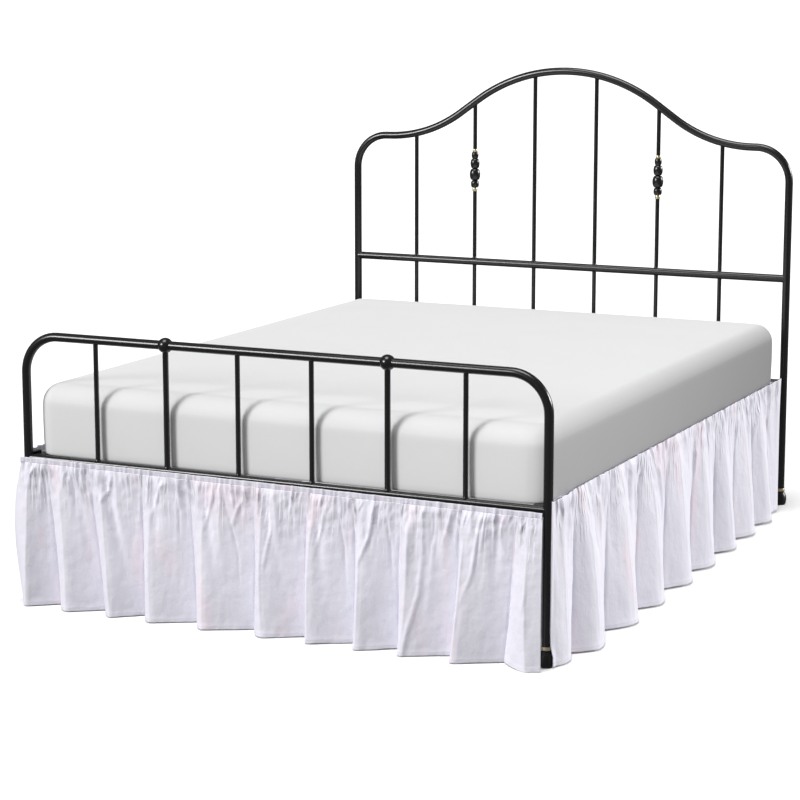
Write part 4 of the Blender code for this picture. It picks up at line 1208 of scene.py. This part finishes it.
    def edge(self, out_hem: float, away: float, down: float, number: int) -> float:
        """Return how far a narrow line along a crest stands out, or along a valley is drawn in.

        Args:
            out_hem: how far out the line is at the hem, which tells a crest from a valley.
            away: the distance from the line.
            down: share of the drop.
            number: the line's number.

        Returns:
            The height, negative along a valley.
        """
        if abs(away) > RIDGE_END * self.edge_width:
            return 0.0
        height = self.crest_edge if out_hem > self.crest_from else -self.valley_edge
        (start, run), (late, late_run, lost), (base, more) = self.edge_start, self.edge_end, self.edge_uneven
        fade = smooth_step((down - start) / run) * (1 - lost * smooth_step((down - late) / late_run))
        uneven = base + more * noise.noise(Vector((number * 3.7, down * 3.0, 0.5)))
        return height * fade * uneven * bell(away / self.edge_width)

    def crease(self, rows: Sequence[Crease], along: float, down: float) -> float:
        """Work out the creases.

        Args:
            rows: the panel's creases.
            along: the distance along the bed.
            down: share of the drop.

        Returns:
            How far they raise the cloth.
        """
        height = 0.0
        for path, rise, width in rows:
            start, end = path[0][1], path[-1][1]
            if not start <= down < end + self.crease_fade:
                continue
            centre = path[-1][0]
            for (at, share), (next_at, next_share) in zip(path, path[1:]):
                if share <= down < next_share:
                    centre = mix(at, next_at, (down - share) / (next_share - share))
            reach = (along - centre) / width
            if abs(reach) < RIDGE_END:
                late = mix(start, end, self.crease_late)
                fade_out = 1.0 if end >= 1.0 else 1 - smooth_step((down - late) / (end + self.crease_fade - late))
                fade = smooth_step((down - start) / self.crease_fade) * fade_out
                height += rise * self.crease_gain * fade * bell(reach)
        return height


COTTON = Cotton()


@dataclass
class GatheredPanel:
    """A gathered panel of the skirt: a sheet on its lines, with furrows, creases and small gathers."""

    name: str
    node: str
    side: Side
    lines: Sequence[Line]
    furrows: Sequence[Furrow]
    creases: Sequence[Crease]
    columns: int
    rows: int
    flat: tuple[float, float]   # length and height of the cloth before it is gathered
    seed: int
    end_bulge: float = 0.0      # how far the first end bows along the bed
    flank: float = 1.15         # how much steeper the cloth rises beside a valley
    shoulder: float = 0.10      # how much of the way down from a crest is round
    crest_round: float = 0.0    # how wide the round part of a crest is at the hem
    steep_width: float = 0.055  # widest step between two lines that rises at its steepest
    middle: float = 0.047       # how far out the hem stands on average
    crowding: tuple[float, float, float] = (0.30, 0.70, 1.7)    # shares of even and crowded rows, and how crowded
    layers: tuple[GatherLayer, ...] = (GatherLayer(0.0130, 0.0030, 0.0030, (0.06, 0.17)),
                                       GatherLayer(0.0330, 0.0060, 0.0040, (0.18, 0.50)),
                                       GatherLayer(0.1000, 0.0042, 0.0046, (0.60, 1.50)))
    gathers: list[Gather] = field(default_factory=list)
    bows: list[float] = field(default_factory=list)
    stations: list[float] = field(default_factory=list)

    def __post_init__(self) -> None:
        """Lay out the stations of the lines and the small gathers."""
        total = 0.0
        self.stations = [0.0]
        for line, following in zip(self.lines, self.lines[1:]):
            total += max(abs(following.at_top - line.at_top), abs(following.at_hem - line.at_hem))
            self.stations.append(total)
        self.stations = [station / total for station in self.stations]
        draw = random.Random(self.seed)
        self.bows = [0.0] + [draw.uniform(-COTTON.bow, COTTON.bow) for _ in self.lines[2:]] + [0.0]
        for pitch, height, width, reach in self.layers:
            along = self.lines[0].at_top
            while along < self.lines[-1].at_top:
                drift = self.between(along, lambda line: line.at_hem - line.at_top)
                lean = drift + draw.uniform(-1.0, 1.0) * mix(*COTTON.lean, smooth_step(reach[1]))
                self.gathers.append(Gather(along, lean, draw.uniform(*reach),
                                           width * draw.uniform(*COTTON.uneven_width),
                                           height * draw.uniform(*COTTON.uneven_height)))
                along += pitch * draw.uniform(*COTTON.uneven_pitch)
        self.gathers.sort()

    def between(self, along: float, value: Callable[[Line], float]) -> float:
        """Interpolate a value of the lines along their tops.

        Args:
            along: the distance along the bed.
            value: gives a line's value.

        Returns:
            The value there.
        """
        for line, following in zip(self.lines, self.lines[1:]):
            if along <= following.at_top:
                share = max((along - line.at_top) / (following.at_top - line.at_top), 0.0)
                return mix(value(line), value(following), share)
        return value(self.lines[-1])

    def seam_out(self, along: float) -> float:
        """Return how far out the top of the gathers stands, for the band that is stitched to it."""
        out = self.between(along, lambda line: line.out_top) + self.relief(along, 0.0)
        return max(out, self.least(along, 0.0))

    @staticmethod
    def least(along: float, down: float) -> float:
        """Keep the foot panel off the footboard.

        Args:
            along: the distance along the bed.
            down: share of the drop.

        Returns:
            How near to the footboard's middle plane the panel may come.
        """
        over_leg, near_leg = COTTON.clear_leg
        if abs(along + POST_X) < near_leg:
            return TUBE_RADIUS + over_leg
        step, run = COTTON.clear_step
        return mix(*COTTON.clear, smooth_step((down - step) / run))

    def profile(self, inside: float, rising: bool, width: float, down: float) -> float:
        """Return the share of the way between a valley and a crest, or between a crest and a valley.

        Args:
            inside: the share of the way along.
            rising: whether it goes from a valley to a crest.
            width: the distance between the two.
            down: share of the drop.

        Returns:
            The share. It changes fast beside a valley and slowly over a crest.
        """
        soft = self.crest_round * down / max(width, 0.02)
        if rising:
            from_crest = (math.hypot(1 - inside, soft) - soft) / (math.hypot(1.0, soft) - soft)
            return 1 - from_crest ** (1 + (self.flank - 1) * min(1.0, (self.steep_width / width) ** 2))
        inside = (math.hypot(inside, soft) - soft) / (math.hypot(1.0, soft) - soft)
        if inside < self.shoulder:
            return inside * inside / (2 * self.shoulder) / (1 - self.shoulder / 2)
        return (inside - self.shoulder / 2) / (1 - self.shoulder / 2)

    def gather(self, along: float, down: float) -> float:
        """Add up the small gathers.

        Args:
            along: the distance along the bed.
            down: share of the drop.

        Returns:
            Their height.
        """
        height = 0.0
        window = COTTON.near[0] + COTTON.near[1] * down
        for row in self.gathers[bisect.bisect_left(self.gathers, (along - window,)):]:
            if row.along > along + window:
                break
            if down < row.reach:
                away = along - row.along - row.lean * down
                reach = away / (row.width * (1 + COTTON.widen * down) * (COTTON.tail if away > 0 else 1.0))
                if abs(reach) < RIDGE_END:
                    height += row.height * (1 - smooth_step(down / row.reach)) * bell(reach)
        least, rise = COTTON.gather_at_seam
        return height * mix(least, 1.0, smooth_step(down / rise))

    def point(self, share: float, down: float) -> tuple[float, float]:
        """Return how far along and how far out a point of the cloth is.

        Args:
            share: how far along the panel, from 0 to 1.
            down: share of the drop.

        Returns:
            The distance along the bed and the distance out.
        """
        index = min(max(bisect.bisect_right(self.stations, share) - 1, 0), len(self.lines) - 2)
        inside = (share - self.stations[index]) / (self.stations[index + 1] - self.stations[index])
        flare, growth = down ** COTTON.flare, COTTON.grow(down)
        places = []
        for number in (index, index + 1):
            line = self.lines[number]
            bow = (self.end_bulge if number == 0 else self.bows[number]) * 4 * down * (1 - down)
            fold = line.out_hem - self.middle
            out = line.out_top + (self.middle - line.out_top) * flare + fold * growth
            places.append((mix(line.at_top, line.at_hem, down) + bow, out))
        (start, start_out), (end, end_out) = places
        along = mix(start, end, inside)
        hem_outs = [line.out_hem for line in self.lines[index:index + 2]]
        out = mix(start_out, end_out, self.profile(inside, hem_outs[0] < hem_outs[1], end - start, down))
        relief = COTTON.edge(hem_outs[0], along - start, down, index + self.seed)
        relief += COTTON.edge(hem_outs[1], end - along, down, index + 1 + self.seed)
        relief += self.relief(along, down)
        near_end = min(share, 1 - share) * (self.lines[-1].at_top - self.lines[0].at_top)
        calm, reach = COTTON.calm_end
        return along, out + relief * mix(calm, 1.0, smooth_step(near_end / reach))

    def relief(self, along: float, down: float) -> float:
        """Add up all that is finer than the folds: gathers, furrows, creases and crinkles.

        Args:
            along: the distance along the bed.
            down: share of the drop.

        Returns:
            Its height.
        """
        height = COTTON.pucker(along, down) - COTTON.furrow(self.furrows, along, down)
        height += COTTON.crease(self.creases, along, down) + self.gather(along, down)
        for share, ripples, slant, rows, turn in COTTON.crinkles:
            height += share * COTTON.crinkle * self.noise(along * ripples + down * slant, down * rows, turn)
        return height

    def noise(self, across: float, down: float, turn: float) -> float:
        """Return this panel's own noise at a place. turn picks a field of it."""
        return noise.noise(Vector((across, down, self.seed * turn)))

    def place(self, along: float, out: float, down: float) -> Vector:
        """Place a point of the panel on its side of the bed.

        Args:
            along: its distance along that side.
            out: its distance out from the bed.
            down: share of the drop.

        Returns:
            The point.
        """
        (broad, waves), (fine, ripples) = COTTON.ragged
        ragged = broad * self.noise(along * waves, 0.0, 1.0) + fine * self.noise(along * ripples, 2.0, 1.0)
        start, run = COTTON.ragged_drop
        wave = ragged * smooth_step((down - start) / run)
        if self.side is Side.FOOT:
            top = heading_top(along) - HEADING.height + HEADING.overlap
            out = max(out, self.least(along, down))
            return Vector((along, FOOTBOARD_PLANE_Y - out, mix(top, COTTON.foot_hem, down) + wave))
        sign = 1 if self.side is Side.RIGHT else -1
        hem = mix(*COTTON.side_hem, along / BOARD_SPACING)
        puff = COTTON.puff * self.noise(along * COTTON.puff_waves, 4.0, 1.0)
        puff += COTTON.puff_gather * self.gather(along, 0.0)
        frill = puff * (1 - smooth_step(down / COTTON.puff_drop))
        lift_end, lift_run = COTTON.bracket
        lift = 1 - smooth_step((min(along, BOARD_SPACING - along) - lift_end) / lift_run)
        top = COTTON.side_seam + frill + COTTON.lift * lift
        x = COTTON.side_face + max(out, -COTTON.side_sink)
        level = mix(top, hem, down) + wave
        glide_top, rise = COTTON.glide_top
        leg = mix(GLIDE_RADIUS, TUBE_RADIUS, smooth_step((level - glide_top) / rise)) + COTTON.leg_gap
        if abs(along) < leg:
            x = max(x, POST_X + math.sqrt(leg * leg - along * along))
        return Vector((sign * x, along + FOOTBOARD_PLANE_Y, level))

    def shares_down(self) -> list[float]:
        """Place the rows, close together at the gathers and at the hem.

        Returns:
            Their shares of the drop.
        """
        hem = 1 - COTTON.hem / COTTON.drop
        body = self.rows - 4
        even, crowded, power = self.crowding
        shares = [hem * (even * step / body + crowded * (step / body) ** power) for step in range(body)]
        return shares + [hem - 0.004, hem, mix(hem, 1.0, 0.5), 0.997, 1.0]

    def build(self, surface: Surface) -> bpy.types.Object:
        """Build the panel.

        Args:
            surface: its cloth.

        Returns:
            The piece.
        """
        downs = self.shares_down()
        down_steps = len(downs) - 1
        shape = bmesh.new()
        bmesh.ops.create_grid(shape, x_segments=self.columns, y_segments=down_steps, size=1.0)
        keys = {}
        for vert in shape.verts:
            column = round((vert.co.x + 1) / 2 * self.columns)
            row = round((1 - vert.co.y) / 2 * down_steps)
            keys[vert] = (column, row)
            along, out = self.point(column / self.columns, downs[row])
            vert.co = self.place(along, out, downs[row])
        hem = sorted((column, vert.co.copy()) for vert, (column, row) in keys.items() if row == down_steps)
        lengths = [0.0]
        for (_, start), (_, end) in zip(hem, hem[1:]):
            lengths.append(lengths[-1] + (end - start).length)
        cloth_map = shape.loops.layers.uv.new("cloth")
        for face in shape.faces:
            for loop in face.loops:
                column, row = keys[loop.vert]
                loop[cloth_map].uv = (lengths[column], (1 - downs[row]) * COTTON.drop)
        if self.side is Side.LEFT:
            bmesh.ops.reverse_faces(shape, faces=shape.faces)
        in_hem = [index for index, (_, row) in enumerate(keys.values()) if row >= down_steps - 3]
        piece = finish_mesh(self.name, shape, surface, self.node, recalculate=False)
        piece.vertex_groups.new(name="hem").add(in_hem, 1.0, 'REPLACE')
        wall = thicken(piece, COTTON.thickness)
        wall.vertex_group = "hem"
        wall.thickness_vertex_group = COTTON.single
        LOG.info("%s: %.3f m of cloth along the hem", self.name, lengths[-1])
        return piece


def thicken(piece: bpy.types.Object, thickness: float) -> bpy.types.Modifier:
    """Give a sheet its thickness, half on each side.

    Args:
        piece: the sheet.
        thickness: how thick it is.

    Returns:
        The modifier.
    """
    wall = piece.modifiers.new("cloth", 'SOLIDIFY')
    wall.thickness = thickness
    wall.offset = 0.0
    return wall


@dataclass
class FootHeading:
    """The flat band across the foot. The gathers lap over its lower edge, where they are stitched to it."""

    left_x: float = -0.790
    right_x: float = 0.7662
    left_top: float = 0.4100
    right_top: float = 0.4005
    height: float = 0.0145
    thickness: float = 0.0008
    step: tuple[float, float] = (-0.758, -0.735)    # where it comes down from the left leg onto the rail
    leg_out: float = 0.0128
    rail_out: float = 0.0098
    stand: float = 0.0030           # how far the upper edge stands off the rail
    overlap: float = 0.0008         # how far the gathers lap over the band's lower edge
    apart: float = 0.0013           # between the middles of the two layers
    wander: float = 0.0006          # how far its edges wander up and down
    waves: float = 24               # in a metre
    lifted: float = 0.25            # share of a gather's push by which the band's upper edge rises
    flattened: float = 0.55         # share of that push that is left at the upper edge
    cloth: tuple[float, float] = (1.60, 0.0065)     # its length, and where it starts, on the cloth's own map
    columns: int = 1400
    rows: int = 6

    def build(self, gathers: GatheredPanel, surface: Surface) -> bpy.types.Object:
        """Build the band behind the gathers that it is stitched to.

        Args:
            gathers: the panel with the gathers.
            surface: the band's cloth.

        Returns:
            The piece.
        """
        shape = bmesh.new()
        bmesh.ops.create_grid(shape, x_segments=self.columns, y_segments=self.rows, size=1.0)
        cloth_map = shape.loops.layers.uv.new("cloth")
        places = {}
        for vert in shape.verts:
            across, up = (vert.co.x + 1) / 2, (vert.co.y + 1) / 2
            x = mix(self.left_x, self.right_x, across)
            back = mix(self.leg_out, self.rail_out, smooth_step((x - self.step[0]) / (self.step[1] - self.step[0])))
            level = back + self.thickness / 2
            ridge = max(gathers.seam_out(x) - self.apart - level, 0.0)
            stand = self.stand * smooth_step(up)
            edge = self.wander * noise.noise(Vector((x * self.waves, up, 9.0))) + self.lifted * up * ridge
            places[vert] = (across * self.cloth[0], up * self.height + self.cloth[1])
            out = level + stand + ridge * mix(1.0, self.flattened, smooth_step(up))
            vert.co = Vector((x, FOOTBOARD_PLANE_Y - out, heading_top(x) - self.height * (1 - up) + edge))
        for face in shape.faces:
            for loop in face.loops:
                loop[cloth_map].uv = places[loop.vert]
        piece = finish_mesh("heading_band", shape, surface, "heading_foot", recalculate=False)
        thicken(piece, self.thickness)
        return piece


HEADING = FootHeading()


def heading_top(x: float) -> float:
    """Return the height of the foot heading's upper edge."""
    return mix(HEADING.left_top, HEADING.right_top, (x - HEADING.left_x) / (HEADING.right_x - HEADING.left_x))


SIDE_GATHERS = (GatherLayer(0.0125, 0.0018, 0.0034, (0.05, 0.14)),
                GatherLayer(0.0260, 0.0046, 0.0052, (0.10, 0.30)),
                GatherLayer(0.0560, 0.0052, 0.0075, (0.30, 0.80)),
                GatherLayer(0.0900, 0.0050, 0.0070, (0.50, 1.40)))


@dataclass
class Skirt:
    """The whole skirt: a band and a gathered panel at the foot, and a gathered panel on each side."""

    panels: tuple[GatheredPanel, ...] = (
        GatheredPanel("skirt_foot", "ruffle_foot", Side.FOOT, FOOT_LINES, FOOT_FURROWS, FOOT_CREASES, 840, 52,
                      (2.17, 0.43), 11, end_bulge=-0.030, flank=1.9, shoulder=0.13),
        GatheredPanel("skirt_right", "ruffle_right", Side.RIGHT, RIGHT_LINES, RIGHT_FURROWS, RIGHT_CREASES, 1000,
                      46, (2.20, 0.45), 23, crest_round=0.034, layers=SIDE_GATHERS),
        GatheredPanel("skirt_left", "ruffle_left", Side.LEFT, LEFT_LINES, LEFT_FURROWS, LEFT_CREASES, 620, 54,
                      (2.30, 0.45), 37, crest_round=0.034, layers=SIDE_GATHERS),
    )

    def build(self, surfaces: Surfaces) -> None:
        """Build the band and the panels, all in cotton.

        Args:
            surfaces: the finishes.
        """
        cotton = surfaces["cotton"]
        held_by = {Side.FOOT: ("footboard_rail", HEADING.build(self.panels[0], cotton)),
                   Side.RIGHT: ("side_rail_right", FRAME["nodes"]["heading_right"]),
                   Side.LEFT: ("side_rail_left", FRAME["nodes"]["heading_left"])}
        for panel in self.panels:
            panel.build(cotton)


# ---------------------------------------------------------------- plain nodes, studio

NODE_FINISHES = {
    "steel": ("bracket_foot_left", "bracket_foot_right", "bracket_head_left", "bracket_head_right",
              "side_rail_left", "side_rail_right"),
    "slats": tuple("slat_%d" % number for number in range(1, 8)),
    "cotton": ("heading_left", "heading_right"),
}


def dress_nodes(surfaces: Surfaces) -> None:
    """Give the solids that stay their finishes.

    Args:
        surfaces: the finishes.
    """
    for finish, names in NODE_FINISHES.items():
        for name in names:
            node = FRAME["nodes"][name]
            if not node.material_slots:
                node.data.materials.append(surfaces[finish].material)
            for slot in node.material_slots:
                slot.material = surfaces[finish].material


@dataclass(frozen=True)
class SoftLight:
    """A far soft light that falls evenly on the floor and the bed."""

    name: str
    azimuth: float              # degrees from the foot's own direction, positive to the right
    elevation: float            # degrees above the floor
    spread: float               # degrees across
    power: float
    flagged: tuple[str, ...] = ()   # pieces that a flag keeps it off

    def build(self) -> None:
        """Build the light."""
        lamp = bpy.data.lights.new(self.name, 'SUN')
        lamp.angle = math.radians(self.spread)
        lamp.energy = self.power
        light = add_object(self.name, lamp)
        light.rotation_euler = (math.radians(90 - self.elevation), 0.0, math.radians(self.azimuth))
        if self.flagged:
            link_light(light, self.flagged, 'EXCLUDE')


@dataclass(frozen=True)
class NearLight:
    """A round soft light close by, aimed with barn doors at a few pieces, so that it falls off along them."""

    name: str
    place: tuple[float, float, float]
    radius: float
    power: float
    pieces: tuple[str, ...]

    def build(self) -> None:
        """Build the light."""
        lamp = bpy.data.lights.new(self.name, 'POINT')
        lamp.shadow_soft_size = self.radius
        lamp.energy = self.power
        light = add_object(self.name, lamp)
        light.location = self.place
        link_light(light, self.pieces, 'INCLUDE')


def link_light(light: bpy.types.Object, names: Sequence[str], state: str) -> None:
    """Keep a light off some pieces, or let it fall on them alone.

    Args:
        light: the light.
        names: the pieces.
        state: EXCLUDE or INCLUDE.
    """
    linked = bpy.data.collections.new(light.name + "_linked")
    light.light_linking.receiver_collection = linked
    for name in names:
        linked.objects.link(bpy.data.objects[name])
    for entry in linked.collection_objects:
        entry.light_linking.link_state = state


@dataclass
class Studio:
    """The pale floor, the lights, the surroundings and the camera."""

    colour: str = "#ffffff"         # of the floor and the surroundings
    floor_reach: float = 500.0
    world_strength: float = 0.20    # of the surroundings as light; the camera sees them at full strength
    lens: float = 107.77
    camera_place: tuple[float, float, float] = (2.940, -6.450, 1.745)
    camera_azimuth: float = math.radians(25.29)
    camera_pitch: float = math.radians(10.24)
    lights: tuple[SoftLight, ...] = (
        SoftLight("key", -34.0, 20.0, 20.0, 2.14),
        SoftLight("top", -15.0, 76.0, 36.0, 1.95),
        SoftLight("right", 124.0, 18.0, 20.0, 3.12, ("mattress_cover",)),
    )
    side_light: NearLight = NearLight("side", (3.20, -0.95, 1.10), 0.5, 83.0, ("mattress_cover",))

    def build(self) -> None:
        """Build the studio."""
        self._floor()
        self._world()
        for light in self.lights:
            light.build()
        self.side_light.build()
        self._camera()
        bpy.context.scene.view_settings.view_transform = 'Standard'

    def _floor(self) -> None:
        """Lay the floor."""
        shape = bmesh.new()
        bmesh.ops.create_grid(shape, x_segments=1, y_segments=1, size=self.floor_reach)
        material = bpy.data.materials.new("matt_floor_paint")
        material.use_nodes = True
        fill(material.node_tree.nodes["Principled BSDF"],
             {"Base Color": linear(self.colour), "Roughness": 1.0, "Specular IOR Level": 0.0}, {})
        floor = add_mesh("floor", shape, material)
        floor.visible_diffuse = False
        floor.visible_glossy = False

    def _world(self) -> None:
        """Light the surroundings evenly, and show them as white as the floor above its far edge."""
        world = bpy.data.worlds.new("studio")
        world.use_nodes = True
        tree = world.node_tree
        seen = add_node(tree, "ShaderNodeLightPath").outputs["Is Camera Ray"]
        strength = add_node(tree, "ShaderNodeMath", {"operation": 'MULTIPLY_ADD', 1: 1 - self.world_strength,
                                                     2: self.world_strength}, {0: seen})
        fill(tree.nodes["Background"], {"Color": linear(self.colour)}, {"Strength": strength.outputs["Value"]})
        bpy.context.scene.world = world

    def _camera(self) -> None:
        """Set up the camera."""
        view = bpy.data.cameras.new("camera")
        view.lens = self.lens
        view.sensor_width = 36.0
        view.clip_end = 3 * self.floor_reach
        camera = add_object("camera", view)
        camera.location = self.camera_place
        camera.rotation_euler = (math.pi / 2 - self.camera_pitch, 0.0, self.camera_azimuth)
        bpy.context.scene.camera = camera


def main() -> None:
    """Build every piece."""
    logging.basicConfig(level=logging.INFO, format="%(message)s")
    surfaces = {name: Surface(finish.build(), finish.slot) for name, finish in FINISHES.items()}
    dress_nodes(surfaces)
    for part in (Footboard(), Headboard(), Legs(), Mattress(), Skirt()):
        earlier = set(bpy.data.objects.keys())
        part.build(surfaces)
        for name in bpy.data.objects.keys():
            if name not in earlier:
                LOG.info("built %s", name)
    Studio().build()


if __name__ == "__main__":
    main()
